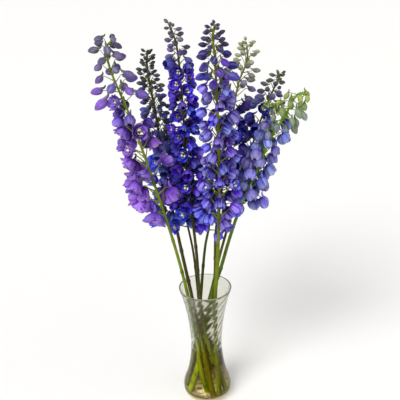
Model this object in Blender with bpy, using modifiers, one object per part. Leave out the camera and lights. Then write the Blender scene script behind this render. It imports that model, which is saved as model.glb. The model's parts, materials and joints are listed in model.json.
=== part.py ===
"""Nine cut delphinium stems standing in a flared glass vase that is partly filled with water.

Metres, +Z up. The origin is the centre of the flat underside of the vase, and the flowers fan out over the
X axis. Every flowering stem is a stalk, the open florets round it and the buds above them.
"""

import math

import bmesh
import bpy
from mathutils import Vector

MM = 0.001

# The vase: outer radius at heights up from the table, in mm. A heavy bulbous foot, a waist and a flared rim.
VASE_HEIGHT = 280.0
VASE_OUTLINE = [
    (0.0, 36.0),
    (3.0, 41.5),
    (13.0, 51.0),
    (29.0, 54.0),
    (43.0, 51.0),
    (60.0, 45.0),
    (84.0, 39.5),
    (114.0, 35.5),
    (145.0, 34.4),
    (176.0, 36.4),
    (210.0, 40.6),
    (246.0, 47.6),
    (VASE_HEIGHT - 1.5, 56.8),
]
VASE_SIDES = 32
FOOT_WALL = 4.6
RIM_WALL = 2.6
FLOOR_TOP = 15.5
FLOOR_RADIUS = 40.0
FOOT_HEIGHT = 29.0
FLOOR_CURVE = 3.5  # height of the first point of the inner wall, over the floor
FLOOR_ROOM = 8.0  # least height of the next one, over the floor

WATER_TOP = 126.0
SURFACE_ROOM = 4.0  # between the surface and the next point of the water's wall

GAP = 0.3  # between pieces that touch
TAPER = 0.42  # radius of a stalk's tip, as a share of its foot
TAPER_CURVE = 1.2  # over 1, a stalk narrows more towards its tip
STALK_STEPS = 20
STALK_RESOLUTION = 2  # eight sides
CURVE_STEPS = 16  # between two points of a route, before its places are evened out
SMOOTH_UNDER = math.radians(50)

# Open florets: bells on short pedicels, each turned on from the last one by the golden angle.
TURN = math.radians(137.5)
FIRST_TURN = math.radians(20)
FLORET_LENGTH = 36.0  # its pedicel and its bell
FLORET_MOUTH = 15.0
FLORET_SHOULDER = 10.5
FLORET_NECK = 2.0
SHOULDER_AT = 0.45  # of the length, from the stalk
FLORET_SIDES = 5
FLORET_PITCH = 13.0  # along the stalk, from one floret to the next
FLORET_SLEEVE = 2.4  # the crowded pedicel bases, out from the stalk
FLORET_LOOKS_UP = 0.12
TOP_FLORET_SHARE = 0.68  # size of the highest floret, as a share of the lowest
FLORET_ROOM = 0.5  # of the mouth, from the bottom of the skin to the first floret
FLORET_BALLS = [(0.85, 1.08), (0.5, 0.85), (0.2, 0.5)]  # shares of its length and its mouth

# Buds: small ovals on thin pedicels, which get shorter towards the tip.
BUD_LENGTH = 15.0
BUD_WIDTH = 9.0
BUD_PITCH = 12.5
BUD_SLEEVE = 1.3
PEDICEL_RADIUS = 1.0
LONGEST_PEDICEL = 24.0
TIP_SHARE = 0.7  # size of the last bud and pedicel, as a share of the first
BUDS_LOOK_UP = 0.35
TIP_CAP = 3.0
TIP_NARROWS = 0.6
PEDICEL_BALLS = (0.15, 0.35, 0.55, 0.75)  # shares of its length
BUD_COLOUR_SHARE = 0.5  # of the petals' colour
BUD_COLOUR_LIFT = 0.05
SHORTEST_STEP = 4.0  # between two points of a skin

# A floret or bud that would touch another stem is turned on and made smaller a few times, then left out.
CLEAR_OF_OTHERS = 1.0
BALL_STEP = 3.0  # between the balls that stand for a stalk in this test
TRIES = 8
TRY_TURN = math.radians(24)
TRY_SHRINK = 0.05
BORE_STEP = 0.08

# Every stem, in mm: the radius at its foot, its route from the cut foot up to the tip, the heights at which
# the florets and the buds begin, the share of full size that its florets have, and its colours.
STEMS = {
    "lilac": {
        "radius": 4.2,
        "route": [
            (-1, -15, 17), (-13, -20, 90), (-20, -15, 145), (-39, -22, 280), (-60, -30, 391),
            (-96, -42, 541), (-134, -48, 678), (-163, -50, 769), (-163, -52, 797), (-151, -54, 808),
        ],
        "florets_from": 460,
        "buds_from": 672,
        "size": 1.0,
        "petal": (0.36, 0.20, 0.62),
        "stem": (0.22, 0.32, 0.03),
    },
    "slate": {
        "radius": 4.8,
        "route": [
            (12, -37, 17), (-9, -16, 138), (-20, -4, 195), (-29, 12, 244), (-51, 32, 362),
            (-76, 66, 500), (-95, 92, 650), (-107, 104, 735), (-106, 108, 762),
        ],
        "florets_from": 425,
        "buds_from": 575,
        "size": 0.85,
        "petal": (0.09, 0.10, 0.30),
        "stem": (0.16, 0.11, 0.05),
    },
    "tall_blue": {
        "radius": 4.2,
        "route": [
            (36, -17, 17), (20, -10, 75), (6, -15, 130), (-5, -14, 195), (-13, -6, 274), (-16, 4, 350),
            (-30, 16, 517), (-37, 22, 710), (-44, 26, 791), (-56, 28, 826),
        ],
        "florets_from": 410,
        "buds_from": 715,
        "size": 1.0,
        "petal": (0.07, 0.05, 0.50),
        "stem": (0.17, 0.13, 0.04),
    },
    "centre_violet": {
        "radius": 4.6,
        "route": [
            (23, -31, 17), (22, -24, 67), (20, -17, 114), (19, -16, 150), (21, -24, 264), (28, -32, 382),
            (32, -46, 600), (27, -52, 768), (25, -54, 820), (29, -54, 829),
        ],
        "florets_from": 425,
        "buds_from": 735,
        "size": 1.0,
        "petal": (0.10, 0.05, 0.56),
        "stem": (0.21, 0.24, 0.03),
    },
    "pale_budded": {
        "radius": 4.0,
        "route": [
            (-28, 26, 17), (-17, 11, 82), (-6, 7, 122), (12, 16, 200), (22, 28, 291), (26, 40, 388),
            (56, 74, 560), (79, 90, 700), (97, 94, 748), (94, 96, 780),
        ],
        "florets_from": 455,
        "buds_from": 660,
        "size": 0.95,
        "petal": (0.13, 0.10, 0.60),
        "stem": (0.20, 0.22, 0.05),
    },
    "dark_right": {
        "radius": 4.0,
        "route": [
            (-36, 5, 17), (-25, 4, 85), (-12, 6, 146), (0, 9, 205), (19, 12, 285), (38, 22, 360),
            (80, 50, 490), (120, 76, 614), (148, 88, 680), (165, 92, 716),
        ],
        "florets_from": 455,
        "buds_from": 620,
        "size": 0.9,
        "petal": (0.06, 0.07, 0.48),
        "stem": (0.10, 0.11, 0.06),
    },
    "drooping": {
        "radius": 5.0,
        "route": [
            (-35, -18, 17.4), (-14, -8, 93), (-5, -5, 147), (13, -3, 259), (30, 1, 308), (56, 2, 400),
            (80, 0, 474), (109, -4, 544), (135, -8, 610), (161, -12, 656), (186, -16, 697), (199, -18, 694),
        ],
        "florets_from": 435,
        "buds_from": 585,
        "size": 0.95,
        "petal": (0.20, 0.20, 0.66),
        "stem": (0.06, 0.20, 0.02),
    },
    "short_back": {
        "radius": 3.6,
        "route": [
            (3, 20, 55), (-8, 17, 145), (-13, 20, 200), (-17, 27, 263), (-24, 36, 346),
            (-42, 48, 450), (-50, 56, 528), (-56, 62, 600),
        ],
        "florets_from": 385,
        "buds_from": 545,
        "size": 0.9,
        "petal": (0.06, 0.07, 0.52),
        "stem": (0.06, 0.08, 0.05),
    },
    "short_middle": {
        "radius": 4.4,
        "route": [
            (-17, 26, 55), (-16, 21, 145), (-13, 28, 200), (-8, 33, 257), (3, 32, 363), (12, 26, 414),
            (12, 20, 470), (8, 16, 520),
        ],
        "florets_from": 378,
        "buds_from": 480,
        "size": 0.85,
        "petal": (0.10, 0.06, 0.55),
        "stem": (0.06, 0.10, 0.03),
    },
}


def clear_scene():
    for thing in list(bpy.data.objects):
        bpy.data.objects.remove(thing, do_unlink=True)


def new_collection(name):
    collection = bpy.data.collections.new(name)
    bpy.context.scene.collection.children.link(collection)
    return collection


def new_material(name, colour, roughness, metallic=0.0, alpha=1.0):
    material = bpy.data.materials.new(name)
    material.use_nodes = True
    shader = material.node_tree.nodes["Principled BSDF"]
    shader.inputs["Base Color"].default_value = (*colour, 1.0)
    shader.inputs["Roughness"].default_value = roughness
    shader.inputs["Metallic"].default_value = metallic
    shader.inputs["Alpha"].default_value = alpha
    return material


def new_object(name, mesh, collection, material=None):
    thing = bpy.data.objects.new(name, mesh)
    collection.objects.link(thing)
    if material:
        mesh.materials.clear()
        mesh.materials.append(material)
    return thing


def evaluated_mesh(thing):
    depsgraph = bpy.context.evaluated_depsgraph_get()
    mesh = bpy.data.meshes.new_from_object(thing.evaluated_get(depsgraph))
    return mesh


def weld(mesh):
    shape = bmesh.new()
    shape.from_mesh(mesh)
    bmesh.ops.remove_doubles(shape, verts=shape.verts, dist=0.00001)
    shape.to_mesh(mesh)
    shape.free()


def is_closed(mesh):
    shape = bmesh.new()
    shape.from_mesh(mesh)
    closed = all(len(edge.link_faces) == 2 for edge in shape.edges)
    shape.free()
    return closed


def combine(thing, other, operation):
    """Join the other shape to this one, or cut it away, and take the other one off the scene.

    Returns False, and leaves this shape as it was, where the two only graze each other.
    """
    boolean = thing.modifiers.new("combine", "BOOLEAN")
    boolean.operation = operation
    boolean.object = other
    mesh = evaluated_mesh(thing)
    weld(mesh)
    thing.modifiers.clear()
    bpy.data.objects.remove(other, do_unlink=True)
    if not is_closed(mesh):
        bpy.data.meshes.remove(mesh)
        return False
    old = thing.data
    thing.data = mesh
    bpy.data.meshes.remove(old)
    return True


def turned(name, profile, sides, collection, material=None):
    """A closed solid turned about Z from (radius, height) points in metres, outer side from top to bottom."""
    mesh = bpy.data.meshes.new(name)
    points = [(radius, 0.0, height) for radius, height in profile]
    mesh.from_pydata(points, [(i, i + 1) for i in range(len(points) - 1)], [])
    thing = new_object(name, mesh, collection, material)
    screw = thing.modifiers.new("turn", "SCREW")
    screw.steps = sides
    screw.render_steps = sides
    screw.use_merge_vertices = True
    screw.merge_threshold = 0.00001
    screw.use_smooth_shade = True
    return thing


def cubic_through(points, count):
    """Evenly spread places on a smooth curve through the given points."""
    points = [Vector(point) for point in points]
    ends = [2 * points[0] - points[1], *points, 2 * points[-1] - points[-2]]
    dense = []
    for before, start, end, after in zip(ends, ends[1:], ends[2:], ends[3:]):
        span = (end - start).length
        leave = span * ((start - before).normalized() + (end - start).normalized()) / 2
        arrive = span * ((end - start).normalized() + (after - end).normalized()) / 2
        for k in range(CURVE_STEPS):
            t = k / CURVE_STEPS
            dense.append(
                (2 * t**3 - 3 * t**2 + 1) * start
                + (t**3 - 2 * t**2 + t) * leave
                + (3 * t**2 - 2 * t**3) * end
                + (t**3 - t**2) * arrive
            )
    dense.append(points[-1])
    lengths = [0.0]
    for start, end in zip(dense, dense[1:]):
        lengths.append(lengths[-1] + (end - start).length)
    spread = []
    at = 0
    for k in range(count):
        wanted = lengths[-1] * k / (count - 1)
        while at < len(lengths) - 2 and lengths[at + 1] < wanted:
            at += 1
        share = (wanted - lengths[at]) / (lengths[at + 1] - lengths[at])
        spread.append(dense[at].lerp(dense[at + 1], min(share, 1.0)))
    return spread


def tube(name, places, radii, resolution, collection, material=None):
    """A closed tube through places in metres, with its own radius at each, as a welded mesh."""
    curve = bpy.data.curves.new(name, "CURVE")
    curve.dimensions = "3D"
    curve.bevel_depth = 1.0
    curve.bevel_resolution = resolution
    curve.use_fill_caps = True
    spline = curve.splines.new("POLY")
    spline.points.add(len(places) - 1)
    for point, place, radius in zip(spline.points, places, radii):
        point.co = (*place, 1.0)
        point.radius = radius
    rail = bpy.data.objects.new(name, curve)
    collection.objects.link(rail)
    mesh = evaluated_mesh(rail)
    weld(mesh)
    bpy.data.objects.remove(rail, do_unlink=True)
    bpy.data.curves.remove(curve)
    return new_object(name, mesh, collection, material)


def outer_radius(height):
    """The vase's outer radius at a height, in mm."""
    for (low, low_radius), (high, high_radius) in zip(VASE_OUTLINE, VASE_OUTLINE[1:]):
        if height <= high:
            return low_radius + (high_radius - low_radius) * (height - low) / (high - low)
    return VASE_OUTLINE[-1][1]


def wall_at(height):
    """The vase's wall gets thinner from the foot up to the rim."""
    share = max(0.0, (height - FOOT_HEIGHT) / (VASE_HEIGHT - FOOT_HEIGHT))
    return FOOT_WALL + (RIM_WALL - FOOT_WALL) * math.sqrt(share)


def inner_radius(height):
    return outer_radius(height) - wall_at(height)


def inner_heights():
    """Heights of the inner wall's points, from the floor's edge up to the rim."""
    higher = [height for height, _ in VASE_OUTLINE if height > FLOOR_TOP + FLOOR_ROOM]
    return [FLOOR_TOP + FLOOR_CURVE, *higher]


def make_vase(collection):
    glass = new_material("clear glass", (0.86, 0.88, 0.82), roughness=0.05, alpha=0.35)
    inner = [(0.0, FLOOR_TOP), (FLOOR_RADIUS, FLOOR_TOP)]
    inner += [(inner_radius(height), height) for height in inner_heights()]
    lip = [(outer_radius(VASE_HEIGHT) - RIM_WALL / 2, VASE_HEIGHT)]
    outer = [(radius, height) for height, radius in reversed(VASE_OUTLINE)]
    profile = inner + lip + outer + [(0.0, 0.0)]
    vase = turned("vase", [(r * MM, z * MM) for r, z in profile], VASE_SIDES, collection, glass)
    return vase


def make_water(collection, stalk_cutters):
    clear = new_material("water", (0.85, 0.88, 0.78), roughness=0.03, alpha=0.35)
    lower = [height for height in reversed(inner_heights()) if height < WATER_TOP - SURFACE_ROOM]
    inside = [(height, inner_radius(height)) for height in [WATER_TOP, *lower]]
    profile = [(0.0, WATER_TOP)]
    profile += [(radius - GAP, height) for height, radius in inside]
    profile += [(FLOOR_RADIUS - GAP, FLOOR_TOP + GAP), (0.0, FLOOR_TOP + GAP)]
    water = turned("water", [(r * MM, z * MM) for r, z in profile], VASE_SIDES, collection, clear)
    for cutter in stalk_cutters:
        combine(water, cutter, "DIFFERENCE")
    water.data.materials.clear()
    water.data.materials.append(clear)
    return water


def stalk_radii(stem, count):
    foot = stem["radius"]
    return [foot * (1 - (1 - TAPER) * (k / (count - 1)) ** TAPER_CURVE) for k in range(count)]


def stalk_tube(name, stem, grown, collection, material=None):
    """A stalk, made thicker all over by the given clearance where it is to be a cutter."""
    places = stem["places"]
    radii = [(radius + grown) * MM for radius in stem["radii"]]
    if grown:
        first = (places[0] - places[1]).normalized() * grown * MM
        last = (places[-1] - places[-2]).normalized() * grown * MM
        places = [places[0] + first, *places[1:-1], places[-1] + last]
    return tube(name, places, radii, STALK_RESOLUTION, collection, material)


def sleeve(name, stem, low, high, thickness, capped, collection, material):
    """A thin-walled skin round the stalk between two distances along it, before its bore is cut."""
    places = [along(stem, low)[0]]
    radii = [along(stem, low)[2]]
    reach = 0.0
    for start, end, radius in zip(stem["places"], stem["places"][1:], stem["radii"][1:]):
        reach += (end - start).length
        if low + SHORTEST_STEP * MM < reach < high - SHORTEST_STEP * MM:
            places.append(end)
            radii.append(radius * MM)
    places.append(along(stem, high)[0])
    radii.append(along(stem, high)[2])
    radii = [radius + thickness * MM for radius in radii]
    if capped:
        places.append(places[-1] + (places[-1] - places[-2]).normalized() * TIP_CAP * MM)
        radii.append(radii[-1] * TIP_NARROWS)
    return tube(name, places, radii, 1, collection, material)


def cut_bore(group, stem, collection):
    """Cut the room for the stalk, a little wider where the first width only grazes an edge."""
    for wider in range(TRIES):
        width = GAP * (1 + BORE_STEP * wider)
        if combine(group, stalk_tube("bore", stem, width, collection), "DIFFERENCE"):
            return
    raise ValueError(f"no bore fits {group.name}")


def along(stem, distance):
    """The place and the direction at a distance along the stalk."""
    places = stem["places"]
    for k, (start, end) in enumerate(zip(places, places[1:])):
        span = (end - start).length
        if distance <= span or k == len(places) - 2:
            direction = (end - start).normalized()
            share = min(distance / span, 1.0)
            radius = stem["radii"][k] + (stem["radii"][k + 1] - stem["radii"][k]) * share
            return start + direction * min(distance, span), direction, radius * MM
        distance -= span
    raise ValueError("the stalk has no length")


def stalk_length(stem):
    return sum((end - start).length for start, end in zip(stem["places"], stem["places"][1:]))


def distance_at_height(stem, height):
    """How far along the stalk it first reaches a height in mm."""
    reach = 0.0
    for start, end in zip(stem["places"], stem["places"][1:]):
        span = (end - start).length
        if end.z >= height * MM:
            return reach + span * (height * MM - start.z) / (end.z - start.z)
        reach += span
    raise ValueError("the stalk is lower than that")


def outward(direction, angle, lift):
    """A direction out from the stalk, turned round it by an angle and lifted along world Z."""
    side = direction.cross(Vector((0.0, 1.0, 0.0))).normalized()
    front = side.cross(direction).normalized()
    out = side * math.cos(angle) + front * math.sin(angle) + Vector((0.0, 0.0, lift))
    return out.normalized()


def bell(name, start, out, size, collection):
    """A floret: a narrow neck that swells into a five-sided bell."""
    length = FLORET_LENGTH * size * MM
    neck = FLORET_NECK * MM
    shoulder = FLORET_SHOULDER * size * MM
    mouth = FLORET_MOUTH * size * MM
    profile = [(0.0, length), (mouth, length), (shoulder, length * SHOULDER_AT), (neck, 0.0), (0.0, 0.0)]
    thing = turned(name, profile, FLORET_SIDES, collection)
    turn = out.to_track_quat("Z", "Y")
    thing.matrix_world = turn.to_matrix().to_4x4()
    thing.location = start
    bpy.context.view_layer.update()
    return thing


def stalked_bud(place, out, reach, size, collection):
    """An oval bud on its pedicel, which starts on the stalk's axis."""
    radii = [PEDICEL_RADIUS * MM] * 2
    pedicel = tube("pedicel", [place, place + out * reach], radii, 0, collection)
    shape = bmesh.new()
    bmesh.ops.create_icosphere(shape, subdivisions=1, radius=1.0)
    half_width = BUD_WIDTH / 2 * size * MM
    half_length = BUD_LENGTH / 2 * size * MM
    bmesh.ops.scale(shape, vec=(half_width, half_width, half_length), verts=shape.verts)
    bmesh.ops.rotate(shape, matrix=out.to_track_quat("Z", "Y").to_matrix(), verts=shape.verts)
    bmesh.ops.translate(shape, vec=place + out * reach, verts=shape.verts)
    mesh = bpy.data.meshes.new("bud")
    shape.to_mesh(mesh)
    shape.free()
    combine(pedicel, new_object("bud", mesh, collection), "UNION")
    return pedicel


def floret_spheres(start, out, size):
    """Balls at a floret's mouth, middle and neck, which keep it clear of the other stems."""
    length = FLORET_LENGTH * size * MM
    mouth = FLORET_MOUTH * size * MM
    return [(start + out * length * along_it, mouth * wide) for along_it, wide in FLORET_BALLS]


def bud_spheres(stem_place, out, reach, size):
    """Balls that hold a bud and its pedicel."""
    balls = [(stem_place + out * reach, BUD_LENGTH / 2 * size * MM)]
    for share in PEDICEL_BALLS:
        balls.append((stem_place + out * reach * share, PEDICEL_RADIUS * 2 * MM))
    return balls


def is_clear(balls, owners, taken):
    """Whether the balls keep clear of every other node."""
    for centre, radius in balls:
        for other, other_centre, other_radius in taken:
            if other in owners:
                continue
            if (centre - other_centre).length < radius + other_radius + CLEAR_OF_OTHERS * MM:
                return False
    return True


def take(balls, owner, taken):
    taken.extend((owner, centre, radius) for centre, radius in balls)


def take_stalk(owner, stem, taken):
    """A stalk with the skin round it, as balls close together."""
    reach = stalk_length(stem)
    steps = int(reach / (BALL_STEP * MM))
    for k in range(steps + 1):
        place, _, radius = along(stem, reach * k / steps)
        taken.append((owner, place, radius + FLORET_SLEEVE * MM))


def make_florets(name, stem, collection, taken):
    petal = new_material(f"{name} petals", stem["petal"], roughness=0.6)
    node = f"florets_{name}"
    start = distance_at_height(stem, stem["florets_from"])
    stop = distance_at_height(stem, stem["buds_from"]) - GAP * MM
    group = sleeve(node, stem, start, stop, FLORET_SLEEVE, False, collection, petal)
    room = FLORET_MOUTH * stem["size"] * MM
    low = start + room * FLORET_ROOM
    high = stop - room
    count = int((high - low) / (FLORET_PITCH * MM)) + 1
    for k in range(count):
        share = k / max(count - 1, 1)
        size = stem["size"] * (1 - (1 - TOP_FLORET_SHARE) * share)
        place, direction, _ = along(stem, low + (high - low) * share)
        for attempt in range(TRIES):
            angle = FIRST_TURN + k * TURN + attempt * TRY_TURN
            out = outward(direction, angle, FLORET_LOOKS_UP)
            fitted = size * (1 - TRY_SHRINK * attempt)
            balls = floret_spheres(place, out, fitted)
            if not is_clear(balls, (node, f"stalk_{name}"), taken):
                continue
            if combine(group, bell("bell", place, out, fitted, collection), "UNION"):
                take(balls, node, taken)
                break
    cut_bore(group, stem, collection)
    group.data.materials.clear()
    group.data.materials.append(petal)
    return group


def make_buds(name, stem, collection, taken):
    colour = [BUD_COLOUR_SHARE * value + BUD_COLOUR_LIFT for value in stem["petal"]]
    skin = new_material(f"{name} buds", colour, roughness=0.55)
    node = f"buds_{name}"
    start = distance_at_height(stem, stem["buds_from"])
    high = stalk_length(stem)
    group = sleeve(node, stem, start, high, BUD_SLEEVE, True, collection, skin)
    low = start + BUD_WIDTH / 2 * MM
    count = int((high - low) / (BUD_PITCH * MM)) + 1
    for k in range(count):
        share = k / max(count - 1, 1)
        size = 1 - (1 - TIP_SHARE) * share
        place, direction, _ = along(stem, low + (high - low) * share)
        reach = LONGEST_PEDICEL * size * MM
        for attempt in range(TRIES):
            angle = FIRST_TURN + k * TURN + attempt * TRY_TURN
            out = outward(direction, angle, BUDS_LOOK_UP)
            balls = bud_spheres(place, out, reach, size)
            if not is_clear(balls, (node, f"stalk_{name}"), taken):
                continue
            if combine(group, stalked_bud(place, out, reach, size, collection), "UNION"):
                take(balls, node, taken)
                break
    cut_bore(group, stem, collection)
    group.data.materials.clear()
    group.data.materials.append(skin)
    return group


def make_stalk(name, stem, collection):
    skin = new_material(f"{name} stalk", stem["stem"], roughness=0.5)
    stalk = stalk_tube(f"stalk_{name}", stem, 0.0, collection, skin)
    stalk.data.shade_smooth()
    stalk.data.set_sharp_from_angle(angle=SMOOTH_UNDER)
    return stalk


def main():
    clear_scene()
    collection = new_collection("delphinium_in_vase")
    make_vase(collection)
    taken = []
    for name, stem in STEMS.items():
        stem["places"] = [place * MM for place in cubic_through(stem["route"], STALK_STEPS)]
        stem["radii"] = stalk_radii(stem, STALK_STEPS)
        make_stalk(name, stem, collection)
        take_stalk(f"stalk_{name}", stem, taken)
    for name, stem in STEMS.items():
        make_florets(name, stem, collection, taken)
        make_buds(name, stem, collection, taken)
    cutters = [stalk_tube("bore", stem, GAP, collection) for stem in STEMS.values()]
    make_water(collection, cutters)


main()
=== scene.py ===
"""Nine cut delphinium stems in a ribbed glass vase of water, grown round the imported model.

Metres, +Z up. The origin is the centre of the flat underside of the vase. Sizes in the tables are in
millimetres, and MM turns them into metres.
"""

import json
import math
from functools import lru_cache, partial
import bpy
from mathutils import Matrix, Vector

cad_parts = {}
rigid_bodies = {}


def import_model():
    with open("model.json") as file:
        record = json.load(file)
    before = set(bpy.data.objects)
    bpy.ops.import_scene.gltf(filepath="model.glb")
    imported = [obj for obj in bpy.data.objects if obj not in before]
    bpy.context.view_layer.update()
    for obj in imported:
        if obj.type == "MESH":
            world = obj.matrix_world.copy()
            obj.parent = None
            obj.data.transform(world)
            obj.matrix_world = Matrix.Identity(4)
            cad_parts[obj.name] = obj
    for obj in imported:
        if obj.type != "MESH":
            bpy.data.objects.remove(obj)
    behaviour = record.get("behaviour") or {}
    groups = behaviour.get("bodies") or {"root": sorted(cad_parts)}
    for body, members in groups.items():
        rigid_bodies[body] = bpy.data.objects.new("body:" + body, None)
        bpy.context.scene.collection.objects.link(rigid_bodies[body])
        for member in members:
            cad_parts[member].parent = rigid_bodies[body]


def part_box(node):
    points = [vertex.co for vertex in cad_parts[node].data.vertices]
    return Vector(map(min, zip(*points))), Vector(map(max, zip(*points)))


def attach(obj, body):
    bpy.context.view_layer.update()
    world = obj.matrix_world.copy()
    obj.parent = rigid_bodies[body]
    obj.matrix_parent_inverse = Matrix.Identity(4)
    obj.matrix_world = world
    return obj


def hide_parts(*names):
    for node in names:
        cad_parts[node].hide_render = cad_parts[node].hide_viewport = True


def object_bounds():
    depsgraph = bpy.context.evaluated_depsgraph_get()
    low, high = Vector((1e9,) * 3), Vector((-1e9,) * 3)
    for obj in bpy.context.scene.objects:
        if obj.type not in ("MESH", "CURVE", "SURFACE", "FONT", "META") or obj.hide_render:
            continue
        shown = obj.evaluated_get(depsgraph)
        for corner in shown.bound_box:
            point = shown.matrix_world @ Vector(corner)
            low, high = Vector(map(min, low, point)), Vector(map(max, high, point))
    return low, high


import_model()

from types import SimpleNamespace

import bpy
import numpy as np
from bpy.props import FloatProperty, FloatVectorProperty, IntProperty, PointerProperty
from bpy.types import Operator, Panel, PropertyGroup
from mathutils import Matrix, Vector

bl_info = {
    "name": "Delphinium in a Vase",
    "version": (1, 0, 0),
    "blender": (4, 5, 0),
    "location": "3D View > Sidebar > Delphinium",
    "description": "Grows nine cut delphinium stems in a swirled glass vase of water",
    "category": "Add Mesh",
}

MM = 0.001
CAD_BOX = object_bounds()
BODY = "root"
UP = Vector((0.0, 0.0, 1.0))
GOLDEN_ANGLE = math.radians(137.5)

# The vase, in mm: heights and outer radii of its heavy bulbous foot, its waist and its flared rim, then radii
# and heights of its inner floor.
VASE_HEIGHT = 280.0
VASE_OUTLINE = [
    (3.0, 41.5), (13.0, 51.0), (29.0, 54.0), (43.0, 51.0), (60.0, 45.0), (84.0, 39.5),
    (114.0, 35.5), (145.0, 34.4), (176.0, 36.4), (210.0, 40.6), (246.0, 47.6), (278.5, 56.8),
]
VASE_FLOOR = [(0.0, 15.5), (20.0, 15.7), (34.0, 16.6), (41.0, 18.6), (45.5, 22.0)]
BASE_RADIUS = 36.0
BASE_BEVEL = 3.6
FOOT_HEIGHT = 29.0
FOOT_WALL = 4.6
RIM_WALL = 2.6
VASE_SIDES = 180
WATER_SIDES = 96
WETTED = 0.1  # how far the water laps into the glass, so that no air shows between them
RIBS_FROM = 6.0  # the ribs begin this far above the water, and are full this much further up
RIBS_GROW = 25.0
RIBS_END = 14.0  # and fade out over this much below the rim
RIBS_OUTSIDE = 0.3  # how much of a rib shows on the outside of the wall, as a share
WATER_LINE = 142.0  # where the wet tint and the painted shade on the back wall end
INNER_RADIUS = 50.5  # in the foot, the inner skin is closer to the axis than this, and above the next height
INNER_BOTTOM = 12.0

# The stalks, in mm, apart from shares.
TAPER = 0.42  # radius of a stalk's tip, as a share of its foot
TAPER_CURVE = 0.9
STALK_STEP = 4.0  # how far apart the rings of a stalk are
STALK_SIDES = 14
SCAR_SWELL = 0.28  # how much thicker a stalk is at a leaf scar, as a share
SCAR_LENGTH = 3.5
SOAKED_FROM = 130.0  # below this height a stalk swells in the water, and this much further down it is full
SOAKED_FADE = 30.0
PEDICEL_SIDES = 6
SPRIG_RADIUS = 1.9
SPRIG_STEPS = 24
CURVE_STEPS = 16  # steps of a stalk's curve from one point of its route to the next

# How flowers find room. Each one is a ball of this radius in mm, and one that would sink too deep into its
# neighbours tries again: every other trial only shortens the pedicel, and the rest turn ever further.
FLOWER_BALL = {"floret": 11.5, "bud": 4.5}
TRIALS = 9
TRIAL_TURN = 0.35  # how much further each pair of trials turns, in radians
TRIAL_SHORT = 0.5  # how long the shortened pedicel is, as a share
STRAY = 0.25  # how far a flower may stray from the spiral, in radians
ROOM = 0.45  # how deep a flower may sink into its neighbours, as a share of its radius, before it tries again
CROWDED = 1.15  # and how deep before it is left out
FRONT = CAD_BOX[0].y - 9 * MM  # to reach further forward than this counts as sinking in

# How much single flowers and sepals differ from what the tables say.
STEP_SPREAD = 0.35  # places along a stalk, as a share of the pitch
SIZE_RANGE = (0.88, 1.12)
REACH_RANGE = (0.85, 1.12)
CLIMB_RANGE = (20, 50)  # how steeply a pedicel leaves the stalk, in degrees
CLIMB_MORE = 14  # and how much more steeply at the top of its stretch
DROOP_SPREAD = 14  # in degrees, as are the next two
SEPAL_LEAN = 6
SEPAL_TURN = 5
SEPAL_RANGE = (0.94, 1.06)
RUFFLE_RANGE = (0.5, 1.4)


def spaced(pitch, reach, size, turn, droop, **more):
    """How flowers are set on a stretch of stalk: pitch mm apart, in a spiral that starts at turn degrees. A
    pair is for the bottom and the top of the stretch: reach of a pedicel in mm, size and droop in degrees.
    full, where it is given, is the power of the curve on which the reach changes, rise is how many degrees
    more the pedicels climb, and one_sided is how far the flowers are drawn to the left."""
    return {"pitch": pitch, "reach": reach, "size": size, "turn": turn, "droop": droop, **more}


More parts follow.
